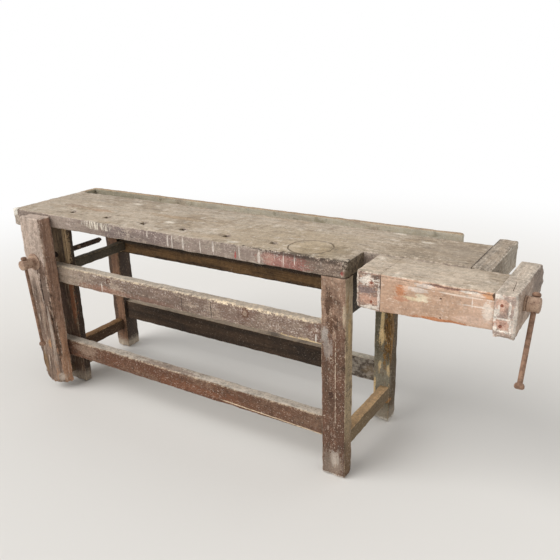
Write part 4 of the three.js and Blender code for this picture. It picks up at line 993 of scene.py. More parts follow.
# The two front stretchers, tenoned into the right leg and pegged over the left one. Their top
# arrises are rubbed down to pale wood; the upper is grey and purple, the lower redder, with a
# pale split along the right half of its foot.


def worn_rail(rail, along, joints, knocks):
    """Age a rail, with its faces cut closer across it than along it."""
    spacing = [0.014 if axis == along else 0.010 for axis in range(3)]
    age(rail, along, 0.0035, spacing, (0.0016, 0.0010, knocks), joints)


stretcher_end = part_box("front_right_leg")[0].x - face_gap
stretcher_joints = ((0, stretcher_end),)
upper_low, upper_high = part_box("front_upper_stretcher")
upper_high.x = stretcher_end
upper = squared_timber("dressed_upper_stretcher", upper_low, upper_high)
ease(upper, 0.009, 4, edge_at(y=upper_low.y, z=upper_high.z))
worn_rail(upper, 0, stretcher_joints, 0.0025)
coat = Coat("upper_stretcher_finish", 0, (210, 197, 180), (190, 175, 157))
upper_front = coat.side(1, -1)
coat.lay(upper_front, (162, 143, 126))
coat.paint(upper_front, (134, 114, 101), (100, 82, 71), 0.62)
coat.lay(coat.x.band(-0.62, -0.8) * upper_front, (172, 155, 136), 0.6)
redder = coat.x.band(-0.1, 0.35) * upper_front * coat.blot.band(0.42, 0.58)
coat.lay(redder, (118, 82, 68), 0.65)
coat.lay(coat.x.band(0.0, 0.2) * upper_front, (100, 78, 67), 0.3)
coat.lay(coat.speckle(0.555) * upper_front, (186, 174, 164), 0.6)
coat.lay(coat.flecks(0.61) * upper_front, (204, 194, 184), 0.55)
coat.lay(coat.mottle.band(0.56, 0.68), (150, 134, 118), 0.5)
coat.lay(coat.blots(80, 0.61), (70, 56, 50), 0.6)
coat.lay(coat.blots(34, 0.57, 0.05) * upper_front, (98, 78, 67), 0.5)
coat.lay(coat.blots(40, 0.59, 0.05) * upper_front, (190, 176, 162), 0.5)
coat.marks(
    upper_low.y,
    (
        (-0.587, 0.519, 0.0035, 0.022, (222, 214, 202)),
        (0.411, 0.512, 0.0025, 0.022, (222, 214, 202)),
        (-0.163, 0.53, 0.0022, 0.034, (46, 35, 31)),
        (-0.025, 0.53, 0.0022, 0.034, (46, 35, 31)),
        (0.127, 0.551, 0.017, 0.020, (88, 56, 40)),
        (0.126, 0.549, 0.009, 0.011, (156, 136, 118)),
        (-0.545, 0.556, 0.011, 0.011, (92, 56, 42)),
        (-0.545, 0.555, 0.006, 0.005, (158, 140, 122)),
    ),
    0.8,
    0.7,
)
coat.marks(
    upper_low.y,
    (
        (-0.56, 0.513, 0.13, 0.013, (142, 96, 74)),
        (-0.30, 0.511, 0.10, 0.009, (140, 97, 78)),
        (-0.26, 0.540, 0.15, 0.034, (112, 93, 82)),
    ),
    0.5,
    1.5,
)
upper_chips = coat.arris.band(0.15, 0.7) * coat.x.band(-0.2, 0.0)
chip_cloud = coat.mottle * 0.4 + coat.grit * 0.3 + coat.rim * 0.3
upper_chips = upper_chips * chip_cloud.band(0.51, 0.56)
coat.lay(upper_chips * coat.z.band(0.564, 0.569), (222, 203, 173), 0.75)
low_chips = (0.36, 0.497, 0.08, 0.010, (222, 196, 152))
coat.marks(upper_low.y + 0.001, (low_chips,), 0.85, 1.2)
coat.lay(coat.side(0, -1), (122, 104, 86), 0.8)
coat.rub((214, 196, 166), 0.7)
settle(upper, "bench", "frame_wood", coat.close(1.4), "front_upper_stretcher")

lower_low, lower_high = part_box("front_lower_stretcher")
lower_high.x = stretcher_end
lower = squared_timber("dressed_lower_stretcher", lower_low, lower_high)
ease(lower, 0.008, 4, edge_at(y=lower_low.y, z=lower_high.z))
worn_rail(lower, 0, stretcher_joints, 0.0028)
coat = Coat("lower_stretcher_finish", 0, (194, 183, 169), (170, 158, 144))
lower_front = (coat.facing.part(1) * -1).band(0.4, 0.7)
coat.lay(lower_front, (118, 90, 71))
coat.paint(lower_front, (103, 71, 52), (68, 44, 32), 0.62)
coat.lay(coat.blot.band(0.5, 0.62) * lower_front, (116, 76, 53), 0.5)
coat.lay(coat.x.band(0.0, 0.3) * lower_front, (112, 88, 72), 0.35)
coat.spots(
    (
        ((-0.45, -0.175, 0.195), (0.22, 0.02, 0.024), (96, 60, 42)),
        ((-0.12, -0.175, 0.175), (0.14, 0.02, 0.018), (118, 76, 54)),
        ((-0.74, -0.175, 0.20), (0.06, 0.02, 0.03), (150, 128, 110)),
        ((-0.28, -0.16, 0.228), (0.16, 0.02, 0.01), (122, 98, 84)),
    ),
    0.55,
    1.0,
)
coat.lay(coat.speckle(0.57), (164, 144, 126), 0.5)
coat.lay(coat.flecks(0.63), (196, 182, 168), 0.5)
coat.lay(coat.blots(90, 0.61), (60, 44, 36), 0.6)
coat.lay(coat.blots(32, 0.57, 0.05) * lower_front, (70, 48, 36), 0.5)
split_slope = 0.026
split_height = 0.1665
split_edge = coat.line(coat.z + coat.x * split_slope, split_height, 0.004, 0.0024, 0.0012)
split_edge = split_edge * coat.x.band(-0.02, 0.03) * coat.mottle.band(0.34, 0.48)
coat.lay(split_edge, (214, 192, 162), 0.9)
coat.height = coat.height - split_edge * 0.5
coat.lay(coat.side(0, -1), (106, 86, 70), 0.8)
coat.rub((190, 172, 148), 0.7)
settle(lower, "bench", "frame_wood", coat.close(1.5), "front_lower_stretcher")


# The rear rails, long boards tenoned between the rear legs. The upper one is ochre, with painted
# shade near black along its top under the slab and a darker foot; the lower is near black with a
# dusty top edge.

rear_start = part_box("rear_left_leg")[1].x + face_gap
rear_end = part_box("rear_right_leg")[0].x - face_gap
dusty_lip = 0.003
for rear_node, rear_slot in (("rear_upper_rail", "rail_wood"), ("rear_lower_rail", "dark_wood")):
    rear_low, rear_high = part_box(rear_node)
    rear_low.x = rear_start
    rear_high.x = rear_end
    rear_high.z += dusty_lip if rear_node == "rear_lower_rail" else 0.0
    rear_joints = ((0, rear_start), (0, rear_end))
    rear_rail = squared_timber("dressed_" + rear_node, rear_low, rear_high)
    worn_rail(rear_rail, 0, rear_joints, 0.002)
    if rear_node == "rear_upper_rail":
        coat = Coat(rear_node + "_finish", 0, (134, 104, 70), (100, 76, 50))
        top_shade_and_foot_height = coat.z + (coat.mottle - 0.5) * 0.06
        # painted shade: the rail's top, shaded by the slab above, is coloured near black
        coat.lay(top_shade_and_foot_height.band(0.55, 0.57), (50, 44, 40), 0.9)
        coat.lay(coat.grain.band(0.5, 0.57), (60, 46, 34), 0.5)
        # darker along the rail's foot
        dark_foot_top = rear_low.z + 0.012
        coat.lay(top_shade_and_foot_height.band(dark_foot_top, rear_low.z), (50, 40, 32), 0.8)
    else:
        coat = Coat(rear_node + "_finish", 0, (78, 61, 47), (50, 39, 30))
        coat.lay(coat.side(2, 1), (178, 160, 140), 0.85)
        pale_knot = (0.42, 0.205, 0.03, 0.02, (170, 144, 108))
        coat.marks(rear_low.y, (pale_knot,), 0.8)
    coat.lay(coat.blot.band(0.52, 0.68), (42, 35, 31), 0.6)
    coat.lay(coat.flecks(0.64), (158, 144, 128), 0.45)
    if rear_node == "rear_lower_rail":
        dusty_end = coat.x.band(0.2, 0.32)
        coat.lay(dusty_end, (108, 98, 88), 0.6)
        coat.lay(dusty_end * (coat.mottle + coat.rim).band(0.9, 1.08), (150, 141, 128), 0.75)
        coat.lay(dusty_end * coat.side(2, 1), (208, 198, 180), 0.85)
    coat.rub((156, 130, 98), 0.6)
    settle(rear_rail, "bench", rear_slot, coat.close(1.4), rear_node)


# The side rails and the bearers between the front and rear legs, nailed and notched in. The
# rails are tan and worn on top from feet; the bearers under the slab are coloured darker.


def shaded(tone, level):
    """A colour made darker or lighter."""
    return [part * level for part in tone]


side_rails = (
    ("left_lower_side_rail", "rail_wood", "front_left_leg", (128, 93, 57), (76, 57, 43)),
    ("left_upper_side_rail", "rail_wood", "front_left_leg", (112, 102, 86), (84, 76, 64)),
    ("left_top_bearer", "dark_wood", "front_left_leg", (84, 73, 61), (62, 53, 46)),
    ("right_lower_side_rail", "rail_wood", "front_right_leg", (204, 169, 127), (96, 82, 61)),
    ("right_top_bearer", "dark_wood", "front_right_leg", (92, 80, 65), (66, 58, 49)),
)
for side_node, side_slot, side_leg, top_tone, face_tone in side_rails:
    side_low, side_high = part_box(side_node)
    side_stop = "rear_upper_rail" if side_node == "left_upper_side_rail" else "rear_left_leg"
    side_low.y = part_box(side_leg)[1].y + face_gap
    side_high.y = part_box(side_stop)[0].y - face_gap
    side_joints = ((1, side_low.y), (1, side_high.y))
    side_rail = squared_timber("dressed_" + side_node, side_low, side_high)
    worn_rail(side_rail, 1, side_joints, 0.003)
    coat = Coat(side_node + "_finish", 1, top_tone, shaded(top_tone, 0.84))
    side_face = coat.mixed(coat.rim.band(0.4, 0.6), face_tone, shaded(face_tone, 0.78))
    coat.lay(1.0 - coat.side(2, 1), side_face, 0.85)
    coat.lay(coat.mottle.band(0.55, 0.68), shaded(face_tone, 0.62), 0.6)
    coat.lay(coat.speckle(0.57), shaded(face_tone, 1.35), 0.5)
    coat.lay(coat.flecks(0.63), (190, 172, 144), 0.5)
    coat.rub((190, 160, 120), 0.65)
    settle(side_rail, "bench", side_slot, coat.close(1.4), side_node)


# The strips that guide the vises: a grooved rail screwed up under the slab, the tongued runner
# of the tail vise that slides in it, and the bar at the foot of the leg vise. All cut square.


def finish_solid(node, finish):
    """Give a solid that shows little a finish and no dressed piece."""
    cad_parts[node].material_slots[0].material = finish


for guide_node, guide_tones in (
    ("tail_guide_rail", ((112, 94, 74), (82, 68, 54))),
    ("tail_vise_runner", ((168, 142, 108), (134, 110, 82))),
    ("leg_vise_guide_bar", ((162, 138, 106), (126, 104, 80))),
):
    guide_along = 1 if guide_node == "leg_vise_guide_bar" else 0
    coat = Coat(guide_node + "_finish", guide_along, *guide_tones, worn=False)
    coat.lay(coat.blot.band(0.48, 0.66), (78, 62, 48), 0.7)
    coat.lay(coat.blots(70, 0.62), (58, 46, 38), 0.6)
    finish_solid(guide_node, coat.close())


# The chop of the leg vise, a thick plank whose left side narrows to the foot. Its right front
# corner is cut away in a long stopped chamfer, and drying cracks run down from the screw.


def cleave(piece, start, end, outward, width, depth):
    """Open a drying crack in a piece: a thin wedge driven in along a line on its face."""
    along = end - start
    length = along.length
    along.normalize()
    turn = Matrix((along, outward.cross(along), outward)).transposed().to_euler()
    proud = 0.004
    narrowing = 0.3
    centre = (start + end) / 2
    bpy.ops.mesh.primitive_cube_add(
        size=1,
        location=centre - outward * (depth / 2 - proud),
        rotation=turn,
        scale=(length, width, depth + proud),
    )
    wedge = take("wedge")
    with editing():
        pick(wedge, "FACE", lambda face: face.normal.dot(outward) < -0.9)
        bpy.ops.transform.resize(value=[narrowing] * 3, center_override=centre - outward * depth)
    cut_away(piece, wedge)


def shift(timber, test, distance):
    """Move the edges of a timber that pass a test."""
    with editing():
        pick(timber, "EDGE", test)
        bpy.ops.transform.translate(value=distance)


chop_low, chop_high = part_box("leg_vise_chop")
chop_taper = 0.009
chop = squared_timber("dressed_leg_chop", chop_low, chop_high)
shift(chop, edge_at(x=chop_low.x, z=chop_low.z), (chop_taper, 0, 0))
chamfer_top = 0.618
chamfer_width = 0.036
chamfer_depth = 0.024
chamfer_head = Vector((chop_high.x, chop_low.y, chamfer_top))
chamfer_front = Vector((chop_high.x - chamfer_width, chop_low.y, chop_low.z))
chamfer_side = Vector((chop_high.x, chop_low.y + chamfer_depth, chop_low.z))
chamfer_normal = (chamfer_front - chamfer_head).cross(chamfer_side - chamfer_head).normalized()
if chamfer_normal.x < 0:
    chamfer_normal.negate()
with editing():
    bpy.ops.mesh.select_all(action="SELECT")
    bpy.ops.mesh.bisect(plane_co=chamfer_head, plane_no=chamfer_normal, use_fill=True, clear_outer=True)
ease(chop, 0.050, 7, edge_at(x=chop_low.x + chop_taper, z=chop_low.z))
ease(chop, 0.010, 4, edge_at(x=chop_low.x, z=chop_high.z))
age(chop, 2, 0.008, (0.010, 0.010, 0.012), (0.0022, 0.0014, 0.004))
ridge_top = 0.5
ridge_fade = 0.15
chop_points = chop.data.vertices
lower_chop = [max(0.0, min(1.0, (ridge_top - point.co.z) / ridge_fade)) for point in chop_points]
roughen(chop, "ridges", 2, (0.014, 0.30), 0.006, 1, lower_chop)
worn_chop_foot = 0.045
chop_foot = [max(0.0, 1.0 - (point.co.z - chop_low.z) / worn_chop_foot) for point in chop_points]
roughen(chop, "foot_wear", 2, (0.016, 0.016), 0.010, 3, chop_foot)
chop_out = -along_y
crack_places = ((-0.8805, 0.545), (-0.8765, 0.42), (-0.8775, 0.22))
crack_points = [Vector((across, chop_low.y, level)) for across, level in crack_places]
cleave(chop, crack_points[0], crack_points[1], chop_out, 0.0055, 0.016)
cleave(chop, crack_points[1] + Vector((0.0006, 0, 0.01)), crack_points[2], chop_out, 0.0040, 0.014)
groove_head = Vector((-0.853, chop_low.y, 0.43))
groove_foot = Vector((-0.849, chop_low.y, 0.10))
cleave(chop, groove_head, groove_foot, chop_out, 0.010, 0.019)
chop_middle = (chop_low.y + chop_high.y) / 2
bore(chop, Vector((leg_screw.x, chop_middle, leg_screw.z)), along_y, leg_bore)
coat = Coat("leg_chop_finish", 2, (190, 171, 156), (170, 151, 137))
chop_streaks = coat.mixed(coat.grain.band(0.42, 0.58), (138, 113, 95), (82, 63, 50))
chop_low_half = coat.level(0.3).band(0.58, 0.42)
coat.lay(chop_low_half, chop_streaks, 0.88)
chop_ridges = coat.drawn(0.14).noise(46, 5, 0.62, 0.3)
coat.lay(chop_ridges.band(0.55, 0.61) * chop_low_half, (64, 48, 37), 0.7)
coat.lay(chop_ridges.band(0.44, 0.38) * chop_low_half, (170, 152, 135), 0.5)
chop_side = coat.side(0, 1)
chop_side_tone = coat.mixed(coat.grain.band(0.4, 0.6), (158, 124, 102), (122, 92, 75))
coat.lay(chop_side, chop_side_tone, 0.92)
# painted light: the lower part of the chop's right side is lightened against the shade it falls in
coat.lay(chop_side * coat.z.band(0.36, 0.2), (180, 138, 108), 0.7)
coat.lay(coat.mottle.band(0.57, 0.7), (112, 89, 76), 0.5)
coat.lay(coat.streak.band(0.56, 0.66), (204, 187, 171), 0.5)
coat.lay(coat.speckle(0.58), (92, 72, 60), 0.5)
coat.lay(coat.flecks(0.65), (216, 202, 188), 0.5)
coat.checks((74, 56, 45), 0.6)
coat.spots(
    (
        ((-0.864, -0.244, 0.48), (0.024, 0.03, 0.12), (92, 70, 57)),
        ((-0.862, -0.244, 0.57), (0.026, 0.02, 0.04), (108, 82, 66)),
        ((-0.880, -0.244, 0.48), (0.004, 0.03, 0.08), (54, 41, 35)),
        ((-0.848, -0.235, 0.27), (0.007, 0.05, 0.14), (70, 53, 43)),
        ((-0.866, -0.244, 0.26), (0.007, 0.03, 0.15), (186, 171, 157)),
        ((-0.935, -0.244, 0.13), (0.016, 0.03, 0.05), (126, 98, 66)),
        ((-0.857, -0.240, 0.065), (0.018, 0.04, 0.022), (196, 180, 164)),
        ((-0.890, -0.244, 0.225), (0.010, 0.03, 0.02), (166, 122, 78)),
    ),
    0.7,
)
coat.rub((206, 189, 172), 0.65)
settle(chop, "leg_chop", "chop_wood", coat.close(1.4), "leg_vise_chop")


# The irons of both vises, forged and turned, then left to rust: a flange on the timber, a
# round hub in one with its shank and coarse thread, and a bar that slides through the hub.


def rusted(name, light, deep, sheen):
    """Rusted iron: brown scale in patches, darker where it is pitted, rubbed bright in spots."""
    finish = bpy.data.materials.new(name)
    finish.use_nodes = True
    place = Wire(finish.node_tree).node("ShaderNodeTexCoord", {}, {}, "Object")
    scale = place.noise(60, 5, 0.65, 0.4)
    pits = place.noise(260, 3, 0.6)
    colour = scale.band(0.38, 0.64).over(srgb(*light), srgb(*deep))
    colour = pits.band(0.6, 0.68).over(colour, srgb(78, 54, 41))
    bright = place.noise(34, 3, 0.6).band(0.6, 0.74)
    colour = (bright * 0.5).over(colour, srgb(196, 166, 142))
    shader = finish.node_tree.nodes["Principled BSDF"]
    links = finish.node_tree.links
    links.new(colour.socket, shader.inputs["Base Color"])
    links.new((0.82 - bright * 0.3).socket, shader.inputs["Roughness"])
    links.new((bright * sheen + 0.1).socket, shader.inputs["Metallic"])
    relief = scale * 0.6 + pits * 0.5
    raised = {"Strength": 0.3, "Distance": 0.002, "Height": relief}
    bumped = relief.node("ShaderNodeBump", {}, raised, "Normal")
    links.new(bumped.socket, shader.inputs["Normal"])
    return finish


def thread(name, base, along, crest, depth, pitch, turns):
    """A coarse screw thread: its profile drawn from one point and screwed along the axis."""
    bpy.ops.mesh.primitive_plane_add(size=0.001, location=(crest - depth, 0, 0))
    spindle = take(name)
    with editing():
        bpy.ops.mesh.select_mode(type="VERT")
        bpy.ops.mesh.select_all(action="SELECT")
        bpy.ops.mesh.merge(type="CENTER")
        for rise, run in ((depth, 0.3), (0, 0.2), (-depth, 0.3), (0, 0.2)):
            bpy.ops.mesh.extrude_vertices_move(TRANSFORM_OT_translate={"value": (rise, 0, run * pitch)})
    turning = spindle.modifiers.new("turning", "SCREW")
    turning.screw_offset = pitch
    turning.iterations = turns
    turning.steps = 28
    turning.render_steps = turning.steps
    bpy.ops.object.modifier_apply(modifier="turning")
    with editing():
        bpy.ops.mesh.select_all(action="SELECT")
        bpy.ops.mesh.remove_doubles(threshold=0.00005)
        bpy.ops.mesh.fill_holes(sides=0)
        bpy.ops.mesh.select_all(action="SELECT")
        bpy.ops.mesh.normals_make_consistent(inside=False)
    spindle.location = base
    spindle.rotation_euler = Vector((0, 0, 1)).rotation_difference(along).to_euler()
    take(name)
    bpy.ops.object.shade_smooth_by_angle(angle=turned_crease)
    return spindle


rust = rusted("rusted_iron", (182, 154, 132), (138, 110, 91), 0.4)
dark_rust = rusted("dark_iron", (92, 72, 58), (56, 45, 38), 0.2)
bar_rust = rusted("bar_rust", (150, 118, 96), (112, 84, 67), 0.4)
thread_pitch = 0.010
thread_depth = 0.0022
leg_bar_tilt = math.radians(4.5)
tail_bar_tilt = math.radians(25)

vise_irons = {
    "leg_vise": {
        "centre": Vector((leg_screw.x, chop_low.y, leg_screw.z)),
        "out": chop_out,
        "down": Vector((math.sin(leg_bar_tilt), 0, -math.cos(leg_bar_tilt))),
        "flange": (0.036, 0.008),
        "hub": (0.021, 0.057),
        "shank": (leg_shank, 0.080, 0.372),
        "bar": (0.0065, 0.362, 0.018),
        "bodies": ("leg_chop", "leg_screw", "leg_handle"),
    },
    "tail_vise": {
        "centre": Vector((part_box("tail_vise_end_block")[1].x, tail_screw.y, tail_screw.z)),
        "out": along_x,
        "down": Vector((0, -math.sin(tail_bar_tilt), -math.cos(tail_bar_tilt))),
        "flange": (0.0225, 0.007),
        "hub": (0.0225, 0.034),
        "shank": (tail_shank, 0.075, 0.335),
        "bar": (0.0075, 0.232, 0.015),
        "bodies": ("tail_vise", "tail_screw", "tail_handle"),
    },
}
for vise, irons in vise_irons.items():
    vise_body, screw_body, bar_body = irons["bodies"]
    seat, out, down = irons["centre"], irons["out"], irons["down"]
    flange_radius, flange_thickness = irons["flange"]
    hub_radius, hub_length = irons["hub"]
    shank_radius, shank_plain, shank_length = irons["shank"]
    bar_radius, bar_drop, bar_setback = irons["bar"]
    flange = turned(
        "dressed_" + vise + "_flange",
        seat,
        out,
        (
            (face_gap, flange_radius - 0.001),
            (0.002, flange_radius),
            (flange_thickness - 0.003, flange_radius),
            (flange_thickness - 0.0008, flange_radius - 0.002),
            (flange_thickness + face_gap, flange_radius - 0.006),
        ),
    )
    bore(flange, seat, out, shank_radius + 0.0006)
    settle(flange, vise_body, "iron", rust, vise + "_flange")
    hub_start = flange_thickness + 2 * face_gap
    hub_end = hub_start + hub_length
    hub = turned(
        "dressed_" + vise + "_screw",
        seat,
        out,
        (
            (-shank_plain, shank_radius - 0.001),
            (0.001 - shank_plain, shank_radius),
            (hub_start, shank_radius),
            (hub_start + 0.0002, hub_radius - 0.0015),
            (hub_start + 0.0015, hub_radius),
            (hub_start + 0.006, hub_radius),
            (hub_start + 0.0075, hub_radius - 0.0012),
            (hub_start + 0.0095, hub_radius - 0.0012),
            (hub_start + 0.011, hub_radius),
            (hub_end - 0.004, hub_radius),
            (hub_end - 0.0015, hub_radius - 0.0012),
            (hub_end, hub_radius - 0.004),
        ),
        48,
    )
    bar_middle = seat + out * (hub_end - bar_setback)
    bore(hub, bar_middle, down, bar_radius + 0.0008)
    bpy.ops.object.shade_smooth_by_angle(angle=turned_crease)
    turns = int((shank_length - shank_plain) / thread_pitch) - 1
    thread_base = seat - out * (shank_plain - 0.002)
    spindle_name = "dressed_" + vise + "_thread"
    spindle = thread(spindle_name, thread_base, -out, shank_radius, thread_depth, thread_pitch, turns)
    settle(hub, screw_body, "iron", rust, vise + "_screw")
    settle(spindle, screw_body, "iron", dark_rust)
    bar = turned(
        "dressed_" + vise + "_handle",
        bar_middle,
        down,
        (
            (-hub_radius - face_gap, bar_radius * 0.96),
            (-hub_radius * 0.4, bar_radius),
            (bar_drop * 0.5, bar_radius * 0.985),
            (bar_drop - 0.017, bar_radius),
            (bar_drop - 0.0155, 0.0108),
            (bar_drop - 0.0125, 0.0126),
            (bar_drop - 0.0085, 0.0138),
            (bar_drop - 0.0045, 0.0136),
            (bar_drop - 0.0015, 0.0118),
            (bar_drop, 0.0088),
        ),
        32,
    )
    settle(bar, bar_body, "iron", bar_rust, vise + "_handle")
    knob = turned(
        "dressed_" + vise + "_knob",
        bar_middle,
        -down,
        (
            (hub_radius + 2 * face_gap, 0.0104),
            (hub_radius + 0.002, 0.0118),
            (hub_radius + 0.0072, 0.012),
            (hub_radius + 0.0098, 0.0106),
            (hub_radius + 0.0116, 0.0082),
            (hub_radius + 0.0125, 0.0045),
        ),
        28,
    )
    settle(knob, bar_body, "iron", bar_rust, vise + "_handle_knob")
    for iron_node in ("_nut", "_garter", "_garter_screw_1", "_garter_screw_2"):
        finish_solid(vise + iron_node, dark_rust)
for small_iron in ("guide_rail_screw_1", "guide_rail_screw_2"):
    finish_solid(small_iron, dark_rust)
for nail in range(1, 4):
    finish_solid("back_board_nail_%d" % nail, dark_rust)


# The moving jaw of the tail vise, a hollow box of four timbers: the jaw block, a front board
# finger jointed and pegged to the blocks, a thin board on top, and the end block for the screw.
# Grey like the slab on top, its front is pink with worn paint and white filler at the joints.


def vise_top(name):
    """The grey beige top shared by the jaw block and the thin board beside it."""
    coat = Coat(name, 0, (196, 181, 162), (178, 161, 142))
    coat.lay(coat.blot.band(0.48, 0.64), (156, 138, 116), 0.6)
    coat.lay(coat.y.band(-0.14, -0.04), (148, 131, 111), 0.45)
    coat.lay(coat.mottle.band(0.56, 0.7), (136, 118, 101), 0.5)
    coat.lay(coat.streak.band(0.57, 0.69), (210, 198, 182), 0.3)
    coat.lay(coat.speckle(0.57), (112, 96, 82), 0.45)
    coat.lay(coat.flecks(0.65), (224, 214, 200), 0.6)
    coat.lay(coat.blots(15, 0.54, 0.1), (146, 129, 108), 0.55)
    coat.lay(coat.blots(28, 0.57, 0.09), (140, 123, 103), 0.4)
    coat.lay(coat.blots(19, 0.57, 0.1), (218, 207, 192), 0.45)
    coat.checks((104, 88, 74), 0.45)
    return coat


jaw_low, jaw_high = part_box("tail_vise_jaw_block")
jaw = squared_timber("dressed_jaw_block", jaw_low, jaw_high)
ease(jaw, 0.016, 4, edge_at(x=jaw_low.x, y=jaw_low.y))
jaw_joints = ((0, jaw_high.x),)
age(jaw, 1, 0.007, (0.010, 0.012, 0.010), (0.0012, 0.0008, 0.004), jaw_joints)
white_filler = (226, 216, 203)
coat = vise_top("jaw_block_finish")
jaw_front = coat.side(1, -1)
jaw_tone = coat.mixed(coat.rim.band(0.42, 0.58), (164, 133, 115), (122, 100, 88))
coat.lay(jaw_front, jaw_tone)
coat.marks(
    jaw_low.y,
    (
        (0.618, 0.774, 0.030, 0.016, white_filler),
        (0.612, 0.742, 0.034, 0.011, (124, 108, 104)),
        (0.622, 0.714, 0.034, 0.016, (182, 144, 124)),
        (0.625, 0.690, 0.026, 0.008, white_filler),
        (0.652, 0.73, 0.004, 0.045, (214, 200, 188)),
        (0.640, 0.786, 0.012, 0.006, (96, 78, 68)),
        (0.596, 0.788, 0.012, 0.006, (150, 128, 112)),
        (0.628, 0.766, 0.010, 0.009, (184, 142, 122)),
    ),
    0.85,
    1.15,
    jaw_front,
)
coat.lay(coat.flecks(0.62) * jaw_front, (222, 212, 200), 0.6)
coat.lay(coat.blots(90, 0.59) * jaw_front, (84, 64, 54), 0.7)
coat.lay(coat.side(0, -1), (112, 98, 82), 0.8)
board_seam = (0.6575, 0.772, 0.0022, 0.022, (48, 38, 33))
coat.marks(jaw_low.y, (board_seam,), 0.9, 0.6)
coat.rub((216, 204, 188), 0.6)
settle(jaw, "tail_vise", "vise_wood", coat.close(1.6), "tail_vise_jaw_block")

board_low, board_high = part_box("tail_vise_front_board")
board_low.x = jaw_high.x + face_gap
board_high.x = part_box("tail_vise_end_block")[0].x - face_gap
board_rise = 0.012
board = squared_timber("dressed_front_board", board_low, board_high)
shift(board, edge_at(x=board_high.x, z=board_low.z), (0, 0, board_rise))
board_joints = ((0, board_low.x), (0, board_high.x), (2, board_high.z))
age(board, 0, 0.004, (0.011, 0.010, 0.009), (0.0010, 0.0006, 0.0025), board_joints)
coat = Coat("front_board_finish", 0, (188, 157, 133), (174, 142, 119))
coat.lay(coat.blot.band(0.5, 0.64), (180, 143, 118), 0.5)
coat.lay(coat.mottle.band(0.57, 0.7), (160, 124, 102), 0.4)
coat.lay(coat.blots(22, 0.53, 0.1), (208, 184, 165), 0.45)
coat.lay(coat.x.band(0.86, 0.95), (202, 172, 152), 0.5)
coat.spots(
    (
        ((0.722, -0.228, 0.764), (0.019, 0.02, 0.022), (184, 118, 76)),
        ((0.735, -0.228, 0.775), (0.013, 0.02, 0.018), (206, 176, 154)),
        ((0.768, -0.228, 0.771), (0.030, 0.02, 0.008), (216, 202, 190)),
        ((0.758, -0.228, 0.742), (0.036, 0.02, 0.006), (216, 198, 164)),
        ((0.783, -0.228, 0.748), (0.022, 0.02, 0.011), (226, 213, 186)),
        ((0.72, -0.228, 0.735), (0.022, 0.02, 0.008), (186, 134, 104)),
        ((0.846, -0.228, 0.690), (0.080, 0.03, 0.008), (182, 112, 66)),
        ((0.925, -0.228, 0.762), (0.0016, 0.02, 0.018), (226, 217, 206)),
        ((0.905, -0.228, 0.7755), (0.075, 0.02, 0.0026), (222, 206, 190)),
        ((0.968, -0.228, 0.745), (0.014, 0.02, 0.030), (222, 208, 194)),
        ((0.93, -0.228, 0.752), (0.04, 0.02, 0.0018), (222, 208, 194)),
        ((0.930, -0.228, 0.710), (0.05, 0.02, 0.012), (206, 176, 156)),
    ),
    0.75,
    1.0,
)
nail_hole = 0.0028
for nail_place in ((0.838, 0.757), (0.839, 0.699)):
    coat.marks(board_low.y, ((*nail_place, nail_hole, nail_hole, (74, 48, 34)),), 1.0, 0.3)
coat.lay(coat.flecks(0.62), (224, 206, 190), 0.5)
coat.lay(coat.speckle(0.6), (142, 104, 86), 0.45)
coat.lay(coat.side(2, -1), (160, 116, 84), 0.7)
coat.lay(coat.side(1, 1), (150, 126, 104), 0.7)
coat.rub((216, 196, 174), 0.5)
settle(board, "tail_vise", "vise_wood", coat.close(0.9), "tail_vise_front_board")

lid_low, lid_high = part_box("tail_vise_top_board")
lid = squared_timber("dressed_top_board", lid_low, lid_high)
lid_low.x = jaw_high.x
lid_joints = ((0, lid_low.x), (0, lid_high.x), (2, lid_low.z))
age(lid, 0, 0.005, (0.012, 0.012, 0.008), (0.0010, 0.0008, 0.0035), lid_joints)
coat = vise_top("top_board_finish")
lid_front = coat.side(1, -1)
lid_tone = coat.mixed(coat.streak.band(0.42, 0.58), (204, 172, 148), (184, 150, 127))
coat.lay(lid_front, lid_tone, 0.9)
coat.marks(
    lid_low.y,
    (
        (0.85, 0.791, 0.055, 0.0035, (128, 92, 82)),
        (0.79, 0.786, 0.025, 0.006, (220, 206, 194)),
        (0.918, 0.790, 0.022, 0.005, white_filler),
        (0.940, 0.783, 0.030, 0.004, (214, 192, 174)),
        (0.968, 0.786, 0.016, 0.010, (196, 142, 102)),
        (0.981, 0.79, 0.004, 0.010, (50, 40, 35)),
    ),
    0.8,
    1.0,
    lid_front,
)
lid_seam = coat.line(coat.z, 0.7925, 0.006, 0.0016, 0.0006)
coat.lay(lid_seam * lid_front * coat.mottle.band(0.46, 0.54), (88, 66, 56), 0.75)
coat.rub((214, 202, 186), 0.6)
settle(lid, "tail_vise", "top_wood", coat.close(1.35), "tail_vise_top_board")

block_low, block_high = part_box("tail_vise_end_block")
block_heel = 0.036
block = squared_timber("dressed_end_block", block_low, block_high)
with editing():
    saw_through(1, recess_back)
shift(block, edge_at(y=block_high.y, z=block_low.z), (0, 0, block_heel))
ease(block, 0.014, 4, edge_at(x=block_low.x, z=block_low.z))
ease(block, 0.010, 4, edge_at(x=block_high.x, z=block_low.z))
ease(block, 0.012, 2, edge_at(y=block_low.y, z=block_low.z))
ease(block, 0.028, 6, edge_at(y=block_high.y, z=block_low.z + block_heel))
ease(block, 0.060, 8, edge_at(y=block_high.y, z=block_high.z))
block_joints = ((0, block_low.x),)
age(block, 1, 0.006, (0.010, 0.012, 0.010), (0.0014, 0.0010, 0.004), block_joints)
crack_back = Vector((1.011, -0.099, block_high.z))
crack_front = Vector((1.021, -0.205, block_high.z))
cleave(block, crack_back, crack_front, Vector((0, 0, 1)), 0.0025, 0.010)
block_middle = (block_low.x + block_high.x) / 2
bore(block, Vector((block_middle, tail_screw.y, tail_screw.z)), along_x, tail_shank + bore_clearance)
coat = Coat("end_block_finish", 1, (192, 178, 162), (170, 156, 140))
coat.lay(coat.blot.band(0.5, 0.66), (152, 133, 116), 0.55)
